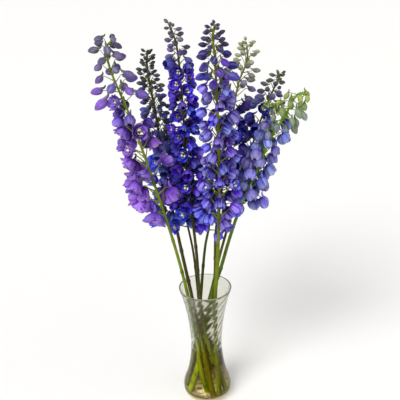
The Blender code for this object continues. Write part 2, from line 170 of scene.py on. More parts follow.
# The stems, in mm. route runs from the cut foot up to the tip, and the florets and the buds begin at the
# heights given. kinds are how often a floret of each kind opens low on the spike and high on it. sepal gives
# the colours of the outside, of the palest and the darkest sepals and of the inside, budding those of the
# lowest and the youngest buds, and stalk those of its foot, its middle and its top. Leaves have left scars at
# the heights given, and a sprig is a side shoot of tiny buds.
STEMS = {
    "lilac": {
        "radius": 4.2,
        "route": [
            (-1, -15, 17), (-13, -20, 90), (-20, -15, 145), (-39, -22, 280), (-60, -30, 391),
            (-96, -42, 541), (-134, -48, 678), (-163, -50, 769), (-163, -52, 797), (-151, -54, 808),
        ],
        "florets_from": 462,
        "buds_from": 690,
        "floret": spaced(7.4, (42, 22), (1.24, 0.8), 100, (68, 42), one_sided=1.2),
        "kinds": ({"double": 5, "skirt": 1, "cup": 3}, {"egg": 3, "bell": 2, "cup": 2}),
        "bud": spaced(4.8, (27, 10), (1.8, 1.2), 40, (20, 5), full=2.0),
        "scars": (330, 405),
        "streaked": 0.45,
        "seed": 3,
        "sepal": ("#7E55C6", "#BFA2EE", "#381E84", "#9766DA"),
        "budding": ("#6E5CA6", "#645E7A"),
        "stalk": ("#728000", "#647C04", "#788A1A"),
    },
    "slate": {
        "radius": 4.8,
        "route": [
            (12, -37, 17), (-9, -16, 138), (-20, -4, 195), (-29, 12, 244), (-51, 32, 362),
            (-76, 66, 500), (-95, 92, 650), (-107, 104, 735), (-106, 108, 762),
        ],
        "florets_from": 400,
        "buds_from": 575,
        "floret": spaced(4.6, (34, 24), (1.04, 0.86), 60, (45, 30)),
        "kinds": ({"skirt": 3, "bell": 4, "cup": 3}, {"egg": 4, "bell": 2, "cup": 1}),
        "bud": spaced(2.2, (25, 6), (1.5, 0.65), 0, (20, -30), full=1.6),
        "scars": (283, 352),
        "seed": 5,
        "streaked": 0.6,
        "sepal": ("#565EDE", "#B8C6FF", "#2A2098", "#3C50F6"),
        "budding": ("#2E3342", "#3A3C2E"),
        "stalk": ("#5C5A00", "#3E380C", "#4C3C28"),
    },
    "tall_blue": {
        "radius": 4.2,
        "route": [
            (36, -17, 17), (20, -10, 75), (6, -15, 130), (-5, -14, 195), (-13, -6, 274), (-16, 4, 350),
            (-30, 16, 517), (-37, 22, 710), (-44, 26, 791), (-56, 28, 826),
        ],
        "florets_from": 430,
        "buds_from": 744,
        "floret": spaced(4.7, (26, 16), (0.95, 0.78), 20, (36, 16)),
        "kinds": ({"skirt": 2, "bell": 3, "cup": 5}, {"egg": 2, "bell": 2, "cup": 6}),
        "bud": spaced(4.2, (15, 4), (1.4, 0.62), 70, (15, -30), full=2.0),
        "scars": (318, 372),
        "seed": 8,
        "sepal": ("#442AB4", "#8E88E8", "#1E0C74", "#2A20E4"),
        "budding": ("#625A86", "#5E5A62"),
        "stalk": ("#667000", "#38370A", "#4C3C26"),
    },
    "centre_violet": {
        "radius": 4.6,
        "route": [
            (23, -31, 17), (22, -24, 67), (20, -17, 114), (19, -16, 150), (21, -24, 264), (28, -32, 382),
            (32, -46, 600), (27, -52, 768), (25, -54, 820), (29, -54, 829),
        ],
        "florets_from": 440,
        "buds_from": 720,
        "floret": spaced(5.4, (31, 20), (0.92, 0.8), 110, (48, 28)),
        "kinds": ({"skirt": 3, "bell": 6, "cup": 2}, {"egg": 3, "bell": 5, "cup": 1}),
        "bud": spaced(2.9, (23, 5), (1.75, 0.6), 150, (20, -20), full=2.0),
        "scars": (300, 360),
        "streaked": 0.85,
        "seed": 13,
        "sepal": ("#5634C2", "#BCB8FF", "#1C0464", "#3024F4"),
        "budding": ("#4C3E98", "#3C345A"),
        "stalk": ("#646C00", "#647406", "#70741E"),
    },
    "pale_budded": {
        "radius": 4.0,
        "route": [
            (-28, 26, 17), (-17, 11, 82), (-6, 7, 122), (12, 16, 200), (22, 28, 291), (26, 40, 388),
            (56, 74, 560), (79, 90, 700), (97, 94, 748), (94, 96, 780),
        ],
        "florets_from": 470,
        "buds_from": 655,
        "floret": spaced(6.4, (28, 22), (0.92, 0.84), 75, (45, 25)),
        "kinds": ({"skirt": 2, "bell": 5, "cup": 3}, {"egg": 3, "bell": 4}),
        "bud": spaced(3.8, (28, 8), (1.62, 0.72), 10, (15, -25), full=2.0),
        "scars": (330,),
        "seed": 21,
        "sepal": ("#5440C4", "#9C96EE", "#281478", "#3430EA"),
        "budding": ("#968E9E", "#A2A476"),
        "stalk": ("#686800", "#504E10", "#7C803A"),
    },
    "dark_right": {
        "radius": 4.0,
        "route": [
            (-36, 5, 17), (-25, 4, 85), (-12, 6, 146), (0, 9, 205), (19, 12, 285), (38, 22, 360),
            (80, 50, 490), (120, 76, 614), (148, 88, 680), (165, 92, 716),
        ],
        "florets_from": 470,
        "buds_from": 632,
        "floret": spaced(5.8, (25, 18), (0.92, 0.8), 240, (38, 20)),
        "kinds": ({"skirt": 2, "bell": 3, "cup": 4}, {"egg": 3, "bell": 2, "cup": 3}),
        "bud": spaced(3.2, (21, 5), (1.65, 0.6), 100, (15, -30), full=2.0),
        "scars": (320,),
        "seed": 34,
        "sepal": ("#3C36B4", "#7C86EA", "#180E6C", "#2622E4"),
        "budding": ("#60629E", "#5E5C50"),
        "stalk": ("#565600", "#4E5610", "#54562C"),
    },
    "drooping": {
        "radius": 5.0,
        "route": [
            (-35, -18, 17.4), (-14, -8, 93), (-5, -5, 147), (13, -3, 259), (30, 1, 308), (56, 2, 400),
            (80, 0, 474), (109, -4, 544), (135, -8, 610), (161, -12, 656), (186, -16, 697), (199, -18, 694),
        ],
        "florets_from": 465,
        "buds_from": 628,
        "floret": spaced(5.0, (32, 27), (1.0, 0.86), 150, (68, 62)),
        "kinds": ({"egg": 9, "bell": 1}, {"egg": 1}),
        "streaked": 0.5,
        "sprig": {
            "route": [
                (172, -14, 676), (166, -13, 669), (156, -11, 667), (144, -9, 668), (131, -7, 670),
                (119, -6, 672),
            ],
            "buds": 30,
            "reach": (11, 5),
            "size": (0.66, 0.46),
            "droop": (10, 0),
        },
        "bud": spaced(3.2, (27, 10), (1.5, 1.0), 60, (66, 60), full=2.0, rise=-52),
        "scars": (322,),
        "seed": 55,
        "sepal": ("#8C8EDE", "#C8CEF6", "#4A44A8", "#7074E0"),
        "budding": ("#7E8C82", "#94A64C"),
        "stalk": ("#7E9008", "#486208", "#6E9818"),
    },
    "short_back": {
        "radius": 3.6,
        "route": [
            (3, 20, 55), (-8, 17, 145), (-13, 20, 200), (-17, 27, 263), (-24, 36, 346),
            (-42, 48, 450), (-50, 56, 528), (-56, 62, 600),
        ],
        "florets_from": 400,
        "buds_from": 560,
        "floret": spaced(5.6, (28, 18), (0.9, 0.8), 310, (40, 20)),
        "kinds": ({"skirt": 3, "bell": 3, "cup": 4}, {"egg": 2, "bell": 2, "cup": 3}),
        "bud": spaced(5.0, (16, 6), (1.3, 0.7), 0, (5, -35)),
        "scars": (310,),
        "seed": 89,
        "sepal": ("#4A3CC0", "#A0A0F8", "#22127C", "#302CEC"),
        "budding": ("#38408C", "#4A5440"),
        "stalk": ("#585C00", "#34360E", "#42461E"),
    },
    "short_middle": {
        "radius": 4.4,
        "route": [
            (-17, 26, 55), (-16, 21, 145), (-13, 28, 200), (-8, 33, 257), (3, 32, 363), (12, 26, 414),
            (12, 20, 470), (8, 16, 520),
        ],
        "florets_from": 398,
        "buds_from": 490,
        "floret": spaced(5.4, (30, 20), (0.9, 0.82), 250, (45, 25)),
        "kinds": ({"skirt": 3, "bell": 4, "cup": 4}, {"bell": 2, "cup": 3}),
        "bud": spaced(5.0, (14, 6), (1.3, 0.7), 0, (5, -35)),
        "scars": (312,),
        "seed": 144,
        "sepal": ("#5440C4", "#A8A2F6", "#24127A", "#302AF0"),
        "budding": ("#4040A0", "#4A5440"),
        "stalk": ("#829200", "#34460A", "#42501C"),
    },
}

# How a sepal of each kind of floret leans away from the flower's axis, in degrees, from its base to its tip,
# with its length and half width in mm. ruffle is how much more than usual its edge waves.
KINDS = {
    "egg": {"lean": (82, 50, 16, -8, -30, -55), "length": 31.0, "half": 9.8},
    "bell": {"lean": (82, 50, 18, 4, 0, 8), "length": 28.5, "half": 10.4},
    "skirt": {"lean": (82, 48, 20, 14, 26, 50), "length": 29.0, "half": 11.4},
    "cup": {"lean": (84, 64, 36, 20, 24, 46), "length": 23.0, "half": 10.4},
    "double": {"lean": (82, 60, 34, 24, 40, 72), "length": 27.0, "half": 12.6, "ruffle": 3.2},
}
# The whorl of petals inside the open kinds that are full.
WHORLS = {
    "cup": {"lean": (80, 52, 24, 10, 16, 34), "length": 16.0, "half": 6.4},
    "double": {"lean": (80, 54, 26, 20, 40, 70), "length": 27.0, "half": 9.5, "ruffle": 4.2},
}
OPEN_KINDS = ("skirt", "cup", "double")
SEPALS = {90: 0.5, 18: -0.3, 162: 0.2, 234: -0.5, 306: 0.0}  # turn of each, and how far out it lies, in mm
PETALS = (54, 126, 198, 270, 342)  # turns of the inner ones
BEES = ((70, 13.5), (110, 13.0), (218, 11.0), (322, 11.5))  # turn of each and its length, in mm
VARIANTS = 2  # shapes of each kind of floret
BUD_SHAPES = [(14.5, 4.7, 4.2), (13.2, 4.5, 3.4), (15.5, 4.8, 5.0)]  # length, half width and spur, in mm
SPUR_TILE = 2.0  # where the map of a spur and that of the stamens lie along u
STAMEN_TILE = 3.0
ROW_CURVE = 1.45  # how much closer the rows of a blade lie towards its tip
STREAKED = 0.6  # how strong a stem's streaks and painted highlights are where the table doesn't say


def linear(value):
    """An sRGB hex colour as linear red, green, blue and alpha."""
    channels = [int(value[k : k + 2], 16) / 255 for k in (1, 3, 5)]
    return (*[c / 12.92 if c <= 0.04045 else ((c + 0.055) / 1.055) ** 2.4 for c in channels], 1.0)


def clamped(value):
    """The value, or 0 or 1 if it is below or above them."""
    return min(max(value, 0.0), 1.0)


# ----------------------------------------------------------------------------------------- settings


def colour(name, description, value):
    """A colour setting whose default is a hex value."""
    return FloatVectorProperty(
        name=name, description=description, subtype="COLOR", size=4, min=0, max=1, default=linear(value)
    )


def length(name, description, value):
    """A length setting whose default is in millimetres."""
    return FloatProperty(name=name, description=description, unit="LENGTH", min=0, default=value * MM)


def number(name, description, value, **more):
    """A setting that is a plain number, whole where its default is."""
    kind = IntProperty if isinstance(value, int) else FloatProperty
    return kind(name=name, description=description, default=value, **more)


class VaseSettings(PropertyGroup):
    """The clear glass vase."""

    ribs: number("Ribs", "Swirled ribs round the vase", 11, min=0)
    rib_depth: length("Rib depth", "How far a rib stands proud of the glass", 0.8)
    swirl: number("Swirl", "Turn of a rib from the foot to the rim", math.radians(400), subtype="ANGLE")
    glass: colour("Glass", "Tint of the glass", "#E6E6DC")
    wet: colour("Wet glass", "Tint of the glass below the water line", "#E9E4CA")
    thick: colour("Thick glass", "Tint of the thick glass of the foot", "#E9E3C8")
    # Partly the olive cast of thick glass and partly painted light: the bright floor seen through the heel.
    heel: colour("Heel", "Cast of the solid glass under the floor", "#E2DAB0")
    silt: colour("Silt", "Pale silt on the inner floor", "#EEE8D4")
    # At the heel this brown also paints a reflection of the inner floor's stained edge.
    stain: colour("Stain", "Brown stain at the heel and in the silt", "#6B4A2A")


class WaterSettings(PropertyGroup):
    """The water in the vase."""

    meniscus: length("Meniscus", "How far the water climbs the glass", 1.4)
    tint: colour("Tint", "Colour of the water among the stems", "#EEE7A2")
    foot: colour("Foot tint", "Colour of the water over the floor", "#FAF7E8")


class StalkSettings(PropertyGroup):
    """The stalks, their pedicels and their bracts."""

    ridges: number("Ridges", "Ridges along a stalk", 7, min=0)
    ridge_depth: number("Ridge depth", "Height of a ridge, as a share of the radius", 0.06, min=0)
    soaked: number("Soaked", "How much thicker a stalk is in the water, as a share", 0.2, min=0)
    pedicel: length("Pedicel radius", "Radius of a pedicel at its base", 1.0)
    bract: length("Bract", "Length of the bract under a pedicel", 9.0)


class FlowerSettings(PropertyGroup):
    """The florets and the buds."""

    size: number("Floret size", "Size of every floret", 1.0, min=0.1)
    bud_size: number("Bud size", "Size of every bud", 1.0, min=0.1)
    spread: number("Size spread", "How much sizes differ, as a share", 0.07, min=0, max=0.5)
    seed: number("Seed", "Seed of the random sizes and shades", 7)


class StageSettings(PropertyGroup):
    """The floor, the lights and the camera."""

    floor: colour("Floor", "Colour of the floor", "#F6F5F3")
    floor_size: length("Floor size", "Width of the floor", 60000.0)
    sky: number("Soft light", "Strength of the light from all round", 0.45)
    lamps: number("Lamps", "Strength of both lamps", 1.0, min=0)
    lens: number("Lens", "Focal length in mm, on a 36 mm sensor", 54.0)


# A stem's colours, in the order of sepal, budding and stalk in its table.
STEM_COLOURS = {
    "sepal": ("Sepal", "Outside of the sepals"),
    # The light colour also paints the highlight along each sepal.
    "light": ("Light sepal", "The palest sepals and their streaks"),
    "deep": ("Deep sepal", "The darkest sepals"),
    "inside": ("Inside", "Inside of the sepals"),
    "bud": ("Bud", "The lower buds"),
    "tip": ("Tip", "The youngest buds, at the tip"),
    "foot": ("Stalk foot", "The stalk in the water"),
    "middle": ("Stalk middle", "The stalk between the water and the flowers"),
    "top": ("Stalk top", "The stalk among the flowers"),
}


def stem_settings(name, stem):
    """The PropertyGroup class of one stem's colours."""
    values = stem["sepal"] + stem["budding"] + stem["stalk"]
    fields = {key: colour(*words, value) for (key, words), value in zip(STEM_COLOURS.items(), values)}
    # The strength of the streaks also sets the painted highlight along each sepal and, past a half, the
    # painted shade at its outer edges.
    streaked = stem.get("streaked", STREAKED)
    fields["streaked"] = number("Streaks", "Strength of the sepals' streaks", streaked, min=0, max=1)
    return type(f"DELPHINIUM_{name}", (PropertyGroup,), {"__annotations__": fields})


STEM_CLASSES = {name: stem_settings(name, stem) for name, stem in STEMS.items()}


class DelphiniumSettings(PropertyGroup):
    """Everything that can be changed before the arrangement is grown."""

    vase: PointerProperty(type=VaseSettings)
    water: PointerProperty(type=WaterSettings)
    stalks: PointerProperty(type=StalkSettings)
    flowers: PointerProperty(type=FlowerSettings)
    stage: PointerProperty(type=StageSettings)


for stem_name, stem_class in STEM_CLASSES.items():
    DelphiniumSettings.__annotations__[stem_name] = PointerProperty(type=stem_class)


# ------------------------------------------------------------------------------------- node helpers


# Kinds of node that come up again and again, with the settings that go with them.
MATH = "ShaderNodeMath"
ABSOLUTE = (MATH, {"operation": "ABSOLUTE"})
ADD = (MATH, {"operation": "ADD"})
ARCTAN2 = (MATH, {"operation": "ARCTAN2"})
COSINE = (MATH, {"operation": "COSINE"})
DIVIDE = (MATH, {"operation": "DIVIDE"})
FRACT = (MATH, {"operation": "FRACT"})
GREATER = (MATH, {"operation": "GREATER_THAN"})
LESS = (MATH, {"operation": "LESS_THAN"})
MAXIMUM = (MATH, {"operation": "MAXIMUM"})
MULTIPLY = (MATH, {"operation": "MULTIPLY"})
MULTIPLY_ADD = (MATH, {"operation": "MULTIPLY_ADD"})
PINGPONG = (MATH, {"operation": "PINGPONG"})
SUBTRACT = (MATH, {"operation": "SUBTRACT"})
BLEND = ("ShaderNodeMix", {"data_type": "RGBA"})
RAMP = ("ShaderNodeMapRange", {"interpolation_type": "SMOOTHSTEP"})
VECTOR = "ShaderNodeVectorMath"
SPLIT = "ShaderNodeSeparateXYZ"
COMBINE = "ShaderNodeCombineXYZ"
NOISE = "ShaderNodeTexNoise"
BUMP = "ShaderNodeBump"
NUMBER = "ShaderNodeAttribute"
DIFFUSE = "ShaderNodeBsdfDiffuse"
PRINCIPLED = "ShaderNodeBsdfPrincipled"
MIX_SHADER = "ShaderNodeMixShader"
OUTPUT = "ShaderNodeOutputMaterial"
STORED = ("GeometryNodeInputNamedAttribute", {"data_type": "FLOAT"})
RANDOM = ("FunctionNodeRandomValue", {"data_type": "FLOAT"})


def add(tree, kind, *values, inputs=None, **settings):
    """Add a node and set its properties. Its inputs in turn, or those named, get a value, a hex colour, or a
    link from a socket or a node's first output. Values left over go into another node of the same kind."""
    kind, ready = kind if isinstance(kind, tuple) else (kind, {})
    settings = {**ready, **settings}
    node = tree.nodes.new(kind)
    for name, value in settings.items():
        setattr(node, name, value)
    shown = [socket for socket in node.inputs if socket.enabled]
    given = [*zip(shown, values), *((node.inputs[name], value) for name, value in (inputs or {}).items())]
    for socket, value in given:
        if isinstance(value, bpy.types.Node):
            value = next(output for output in value.outputs if output.enabled)
        if isinstance(value, bpy.types.NodeSocket):
            tree.links.new(value, socket)
        else:
            socket.default_value = linear(value) if str(value).startswith("#") else value
    left_over = values[len(shown) :]
    return add(tree, kind, node, *left_over, **settings) if left_over else node


def geometry_tree(name, sockets):
    """A geometry tree with named inputs, and the outputs of the node that gives them."""
    tree = bpy.data.node_groups.new(name, "GeometryNodeTree")
    tree.interface.new_socket("Geometry", in_out="OUTPUT", socket_type="NodeSocketGeometry")
    for socket, kind in {"Geometry": "Geometry", **sockets, "Material": "Material"}.items():
        tree.interface.new_socket(socket, in_out="INPUT", socket_type=f"NodeSocket{kind}")
    return tree, add(tree, "NodeGroupInput").outputs


def end_tree(tree, geometry, material):
    """Realize the instances, shade them smooth, set the material and end the tree."""
    real = add(tree, "GeometryNodeRealizeInstances", geometry)
    smooth = add(tree, "GeometryNodeSetShadeSmooth", real)
    painted = add(tree, "GeometryNodeSetMaterial", smooth, inputs={"Material": material})
    add(tree, "NodeGroupOutput", painted)
    return tree


def linked(name, data):
    """A new object in the scene."""
    thing = bpy.data.objects.new(name, data)
    bpy.context.scene.collection.objects.link(thing)
    return thing


def baked(thing):
    """The mesh that an object's modifiers make. The object goes."""
    made = bpy.data.meshes.new_from_object(thing.evaluated_get(bpy.context.evaluated_depsgraph_get()))
    thing.modifiers.clear()
    bpy.data.objects.remove(thing)
    return made


def store(mesh, name, values, kind="FLOAT"):
    """Keep a number for each point of a mesh."""
    mesh.attributes.new(name, kind, "POINT").data.foreach_set("value", list(values))


def grow(name, mesh, tree, material, **values):
    """Run a geometry tree on a mesh and keep the result as a plain mesh object. Each value goes into the
    input of the same name."""
    source = linked(name + "_source", mesh)
    modifier = source.modifiers.new("grow", "NODES")
    modifier.node_group = tree
    values["Material"] = material
    for item in tree.interface.items_tree:
        if item.in_out == "INPUT" and item.name in values:
            modifier[item.identifier] = values[item.name]
    grown = baked(source)
    if not len(grown.polygons):
        raise RuntimeError(f"{name} came out empty")
    grown.name = name
    grown.materials.clear()
    grown.materials.append(material)
    return linked(name, grown)


# ------------------------------------------------------------------------------------- plain shapes


class Shape:
    """Points, faces and surface coordinates that become one mesh. shade is one number for each point."""

    def __init__(self):
        self.points = []
        self.shades = []
        self.faces = []
        self.corners = []

    def point(self, place, shade):
        """Add a point and give its number."""
        self.points.append(Vector(place))
        self.shades.append(shade)
        return len(self.points) - 1

    def face(self, corners, uvs):
        """Add a face. A corner that is the same point as the one before it is left out."""
        kept = [k for k in range(len(corners)) if corners[k] != corners[k - 1]]
        self.faces.append([corners[k] for k in kept])
        self.corners.extend(uvs[k] for k in kept)

    def blade(self, surface, across, along, thickness, shade):
        """A thin closed blade with a rounded tip: two skins on surface(u, v), u from -1 to 1 and v from 0 to
        1, which share their edge. The outer skin has one unit of u on its map, and the inner one the next."""
        step = 0.01
        outer = {}
        inner = {}
        rows = [1 - (1 - j / along) ** ROW_CURVE for j in range(along + 1)]
        tip = self.point(surface(0.0, 1.0), shade)
        for j, v in enumerate(rows):
            for i in range(across + 1):
                u = 2 * i / across - 1
                if j == along:
                    outer[i, j] = inner[i, j] = tip
                    continue
                place = surface(u, v)
                outer[i, j] = inner[i, j] = self.point(place, shade)
                if 0 < i < across and j > 0:
                    sideways = surface(u + step, v) - surface(u - step, v)
                    onward = surface(u, v + step) - surface(u, v - step)
                    inner[i, j] = self.point(place - sideways.cross(onward).normalized() * thickness, shade)
        for j in range(along):
            for i in range(across):
                square = [(i, j), (i + 1, j), (i + 1, j + 1), (i, j + 1)]
                uvs = [(a / across, rows[b]) for a, b in square]
                self.face([outer[key] for key in square], uvs)
                back = [(u + 1.0, v) for u, v in reversed(uvs)]
                self.face([inner[key] for key in reversed(square)], back)

    def tube(self, places, radii, sides, tile, shade):
        """A closed tube that ends in a point at both ends. Its map lies in the given tile along u."""
        rings = []
        count = len(places)
        places = [Vector(place) for place in places]
        first = self.point(places[0], shade)
        last = self.point(places[-1], shade)
        for k in range(1, count - 1):
            onward = (places[k + 1] - places[k - 1]).normalized()
            side = (side - onward * side.dot(onward) if rings else onward.orthogonal()).normalized()
            other = onward.cross(side)
            ring = []
            for i in range(sides):
                angle = 2 * math.pi * i / sides
                out = side * math.cos(angle) + other * math.sin(angle)
                ring.append(self.point(places[k] + out * radii[k], shade))
            rings.append(ring)
        rings = [[first] * sides, *rings, [last] * sides]
        for k, (ring, after) in enumerate(zip(rings, rings[1:])):
            for i in range(sides):
                n = (i + 1) % sides
                corners = ((i, k), (i + 1, k), (i + 1, k + 1), (i, k + 1))
                uvs = [(tile + a / sides, b / (count - 1)) for a, b in corners]
                self.face([ring[i], ring[n], after[n], after[i]], uvs)

    def mesh(self, name):
        """All of it as a mesh in metres."""
        mesh = bpy.data.meshes.new(name)
        mesh.from_pydata([point * MM for point in self.points], [], self.faces)
        layer = mesh.uv_layers.new(name="UVMap")
        layer.data.foreach_set("uv", np.array(self.corners, np.float32).ravel())
        store(mesh, "leaf", self.shades)
        mesh.validate()
        mesh.shade_smooth()
        return mesh


def midline(lean, reach, start=1.5, steps=24):
    """Radius and height along a sepal's middle, whose lean from the flower's axis is given in degrees."""
    knots = np.linspace(0, 1, len(lean))
    shares = (np.arange(steps) + 0.5) / steps
    angles = np.radians(np.interp(shares, knots, lean))
    radius = np.concatenate([[0], np.cumsum(np.sin(angles))]) * reach / steps + start
    height = np.concatenate([[0], np.cumsum(np.cos(angles))]) * reach / steps
    return np.linspace(0, 1, steps + 1), radius, height


def sepal(shape, look, turn, layer, rng, cupped=1.5, whorl=0):
    """One sepal or inner petal, cupped across its middle and ruffled at its edge. Its shade is from 0 to 1 in
    the outer whorl, and from 1 to 2 in the inner one."""
    lean = [angle + rng.uniform(-SEPAL_LEAN, SEPAL_LEAN) for angle in look["lean"]]
    along, radius, height = midline(lean, look["length"] * rng.uniform(*SEPAL_RANGE))
    half = look["half"] * rng.uniform(*SEPAL_RANGE)
    middle = math.radians(turn + rng.uniform(-SEPAL_TURN, SEPAL_TURN))
    phase = rng.uniform(0, 6.28)
    ruffle = rng.uniform(*RUFFLE_RANGE) * look.get("ruffle", 1.0)

    def surface(u, v):
        v = clamped(v)
        r = float(np.interp(v, along, radius))
        z = float(np.interp(v, along, height))
        width = half * max(math.sin(math.pi * (0.05 + 0.95 * v) ** 1.3), 0.0) ** 0.42
        angle = middle + u * min(width / max(r, 1.0), 0.86)
        r += layer * min(v * 4, 1) + cupped * (1 - u * u) * math.sin(math.pi * min(v * 1.1, 1.0))
        r += ruffle * u * u * math.sin(phase + 6 * v + 1.6 * u) * v - 0.5 * (1 - abs(u)) ** 4 * v
        return Vector((r * math.cos(angle), r * math.sin(angle), z))

    shape.blade(surface, across=4, along=6, thickness=0.45, shade=whorl + float(rng.uniform(0, 1)))


def floret_shape(kind, rng):
    """Five sepals round +Z. The top one, at +Y, has a spur that runs back over the pedicel. A full kind has a
    whorl of smaller petals inside."""
    shape = Shape()
    for turn, layer in SEPALS.items():
        sepal(shape, KINDS[kind], turn, layer, rng)
    if kind in WHORLS:
        for turn in PETALS:
            sepal(shape, WHORLS[kind], turn, 0.0, rng, cupped=0.8, whorl=1)
    bend = rng.uniform(-1.8, 1.8)
    spur = [(0, 2.0, 7.0), (0, 4.5, 4.0), (0, 5.2, 0.0), (bend * 0.4, 5.4, -3.8), (bend, 6.4, -6.8)]
    spur += [(bend * 1.3, 8.4, -9.0), (bend * 1.3, 9.3, -9.5)]
    shape.tube(spur, [0, 3.3, 2.7, 2.1, 1.6, 1.1, 0], sides=6, tile=SPUR_TILE, shade=0.5)
    return shape


def bee_shape(rng):
    """The four small petals in the middle of an open floret, round a dark heart."""
    shape = Shape()
    for turn, reach in BEES:
        middle = math.radians(turn + rng.uniform(-12, 12))
        lean = [14, 20, 30 + rng.uniform(-8, 8), 50 + rng.uniform(-20, 20)]
        along, radius, height = midline(lean, reach * rng.uniform(0.9, 1.1), start=1.2)

        def surface(u, v):
            v = clamped(v)
            r = float(np.interp(v, along, radius))
            z = float(np.interp(v, along, height)) + 1.5
            width = 3.9 * max(math.sin(math.pi * (0.16 + 0.84 * v) ** 1.2), 0.0) ** 0.6
            sideways = Vector((-math.sin(middle), math.cos(middle), 0.0))
            out = Vector((math.cos(middle), math.sin(middle), 0.0))
            return out * (r - 0.7 * u * u) + sideways * u * width + UP * z

        shape.blade(surface, across=2, along=4, thickness=0.4, shade=float(rng.uniform(0, 1)))
    stamens = [(0, 0, 2), (0, 0, 4), (0, 0, 7.5), (0, 0, 9)]
    shape.tube(stamens, [0, 1.0, 1.3, 0], sides=6, tile=STAMEN_TILE, shade=0.5)
    return shape


def bud_shape(reach, half, tail, rng):
    """A closed bud on +Z with a blunt tip, five soft keels and a spur at +Y that runs back."""
    shape = Shape()
    shares = (0.0, 0.06, 0.22, 0.45, 0.68, 0.88, 1.0)
    lift = rng.uniform(0.2, 1.0)
    places = [(0, lift * math.sin(math.pi * share), reach * share) for share in shares]
    radii = [half * math.sin(math.pi * share**0.8) ** 0.62 if share < 1 else 0 for share in shares]
    shape.tube(places, radii, sides=10, tile=0.0, shade=float(rng.uniform(0, 1)))
    spur = [(0, half * 0.3, reach * 0.35), (0, half * 0.55, reach * 0.16), (0, half * 0.6, -tail * 0.25)]
    spur += [(0, half * 0.75, -tail * 0.65), (0, half * 1.15, -tail * 0.95), (0, half * 1.25, -tail)]
    radii = [half * share for share in (0, 0.42, 0.34, 0.25, 0.16, 0)]
    shape.tube(spur, radii, sides=5, tile=SPUR_TILE, shade=0.5)
    return shape


def bract_shape():
    """A narrow leaf along +Z that curls a little towards -Y, one unit long."""
    shape = Shape()

    def surface(u, v):
        width = 0.09 * math.sin(math.pi * (0.1 + 0.9 * min(v, 1.0)) ** 0.7)
        return Vector((width * u, -0.28 * v * v + 0.05 * u * u, v)) / MM

    shape.blade(surface, across=2, along=5, thickness=0.02 / MM, shade=0.5)
    return shape


# ------------------------------------------------------------------------------- how it is laid out


class Route:
    """A smooth curve up a stalk, in metres, which can be asked for places along it."""

    def __init__(self, stem):
        points = [Vector(point) * MM for point in stem["route"]]
        ends = [2 * points[0] - points[1], *points, 2 * points[-1] - points[-2]]
        dense = []
        for before, start, end, after in zip(ends, ends[1:], ends[2:], ends[3:]):
            span = (end - start).length
            leave = span * ((start - before).normalized() + (end - start).normalized()) / 2
            arrive = span * ((end - start).normalized() + (after - end).normalized()) / 2
            for k in range(CURVE_STEPS):
                t = k / CURVE_STEPS
                place = (2 * t**3 - 3 * t**2 + 1) * start + (t**3 - 2 * t**2 + t) * leave
                place += (3 * t**2 - 2 * t**3) * end + (t**3 - t**2) * arrive
                dense.append(place)
        dense.append(points[-1])
        self.places = np.array([tuple(place) for place in dense])
        spans = np.linalg.norm(np.diff(self.places, axis=0), axis=1)
        self.reach = np.concatenate([[0], np.cumsum(spans)])
        self.length = self.reach[-1]
        self.foot = stem["radius"] * MM

    def at(self, distance):
        """The place that far along it."""
        return Vector([float(np.interp(distance, self.reach, self.places[:, k])) for k in range(3)])

    def direction(self, distance):
        """Which way it runs there."""
        step = 2 * MM
        return (self.at(distance + step) - self.at(distance - step)).normalized()

    def distance(self, height):
        """How far along it first reaches a height."""
        k = int(np.argmax(self.places[:, 2] >= height))
        low, high = self.places[k - 1, 2], self.places[k, 2]
        return float(self.reach[k - 1] + (self.reach[k] - self.reach[k - 1]) * (height - low) / (high - low))

    def radius(self, distance):
        """How thick the stalk is there."""
        return self.foot * (1 - (1 - TAPER) * (distance / self.length) ** TAPER_CURVE)


def mixed(pair, share):
    """The value that lies a share of the way from the first of a pair to the second."""
    return pair[0] + (pair[1] - pair[0]) * share


def pick(weights, value):
    """The name that a number from 0 to 1 falls on."""
    total = sum(weights.values())
    for name, weight in weights.items():
        value -= weight / total
        if value <= 0:
            return name
    return name


def pedicel_path(start, out, rise, reach, aim, steps=8):
    """A pedicel that climbs out from the stalk and turns into the flower's own direction."""
    leave = (out * math.cos(rise) + UP * math.sin(rise)).normalized()
    tip = start + leave * reach * 0.93 + aim * reach * 0.06
    first = start + leave * reach * 0.72
    second = tip - aim * reach * 0.2
    path = []
    for k in range(steps + 1):
        t = k / steps
        back = 1 - t
        path.append(back**3 * start + 3 * back**2 * t * first + 3 * back * t**2 * second + t**3 * tip)
    return path


def facing(aim, upward):
    """The turn that points +Z along aim and +Y upward."""
    return Matrix((upward.cross(aim), upward, aim)).transposed().to_euler()


def site(route, at, turn, plan, share, size, rng, lift=0.0, short=1.0):
    """One flower or bud: its pedicel and the way it faces."""
    start = route.at(at)
    onward = route.direction(at)
    side = onward.cross(Vector((0.0, 1.0, 0.0))).normalized()
    backward = side.cross(onward).normalized()
    out = (side * math.cos(turn) + backward * math.sin(turn)).normalized()
    droop = math.radians(mixed(plan["droop"], share) + rng.uniform(-DROOP_SPREAD, DROOP_SPREAD) + lift)
    level = Vector((out.x, out.y, out.z * 0.4)).normalized()
    aim = (level * math.cos(droop) - UP * math.sin(droop)).normalized()
    aim.rotate(Matrix.Rotation(rng.uniform(-0.3, 0.3), 3, "Z"))
    upward = (UP - aim * aim.z + out * 0.05).normalized()
    upward = (upward - aim * upward.dot(aim)).normalized()
    reach = mixed(plan["reach"], share ** plan.get("full", 1.0)) * MM * rng.uniform(*REACH_RANGE) * short
    rise = math.radians(rng.uniform(*CLIMB_RANGE) + CLIMB_MORE * share + plan.get("rise", 0.0))
    # Where a stalk hooks over, the pedicels on top of it leave sideways.
    leave = Vector((out.x, out.y, min(out.z, 0.15))).normalized() if "rise" in plan else out
    path = pedicel_path(start + out * route.radius(at) * 0.6, leave, rise, reach, aim)
    return {"path": path, "aim": aim, "turn": facing(aim, upward), "size": size, "out": out, "share": share}


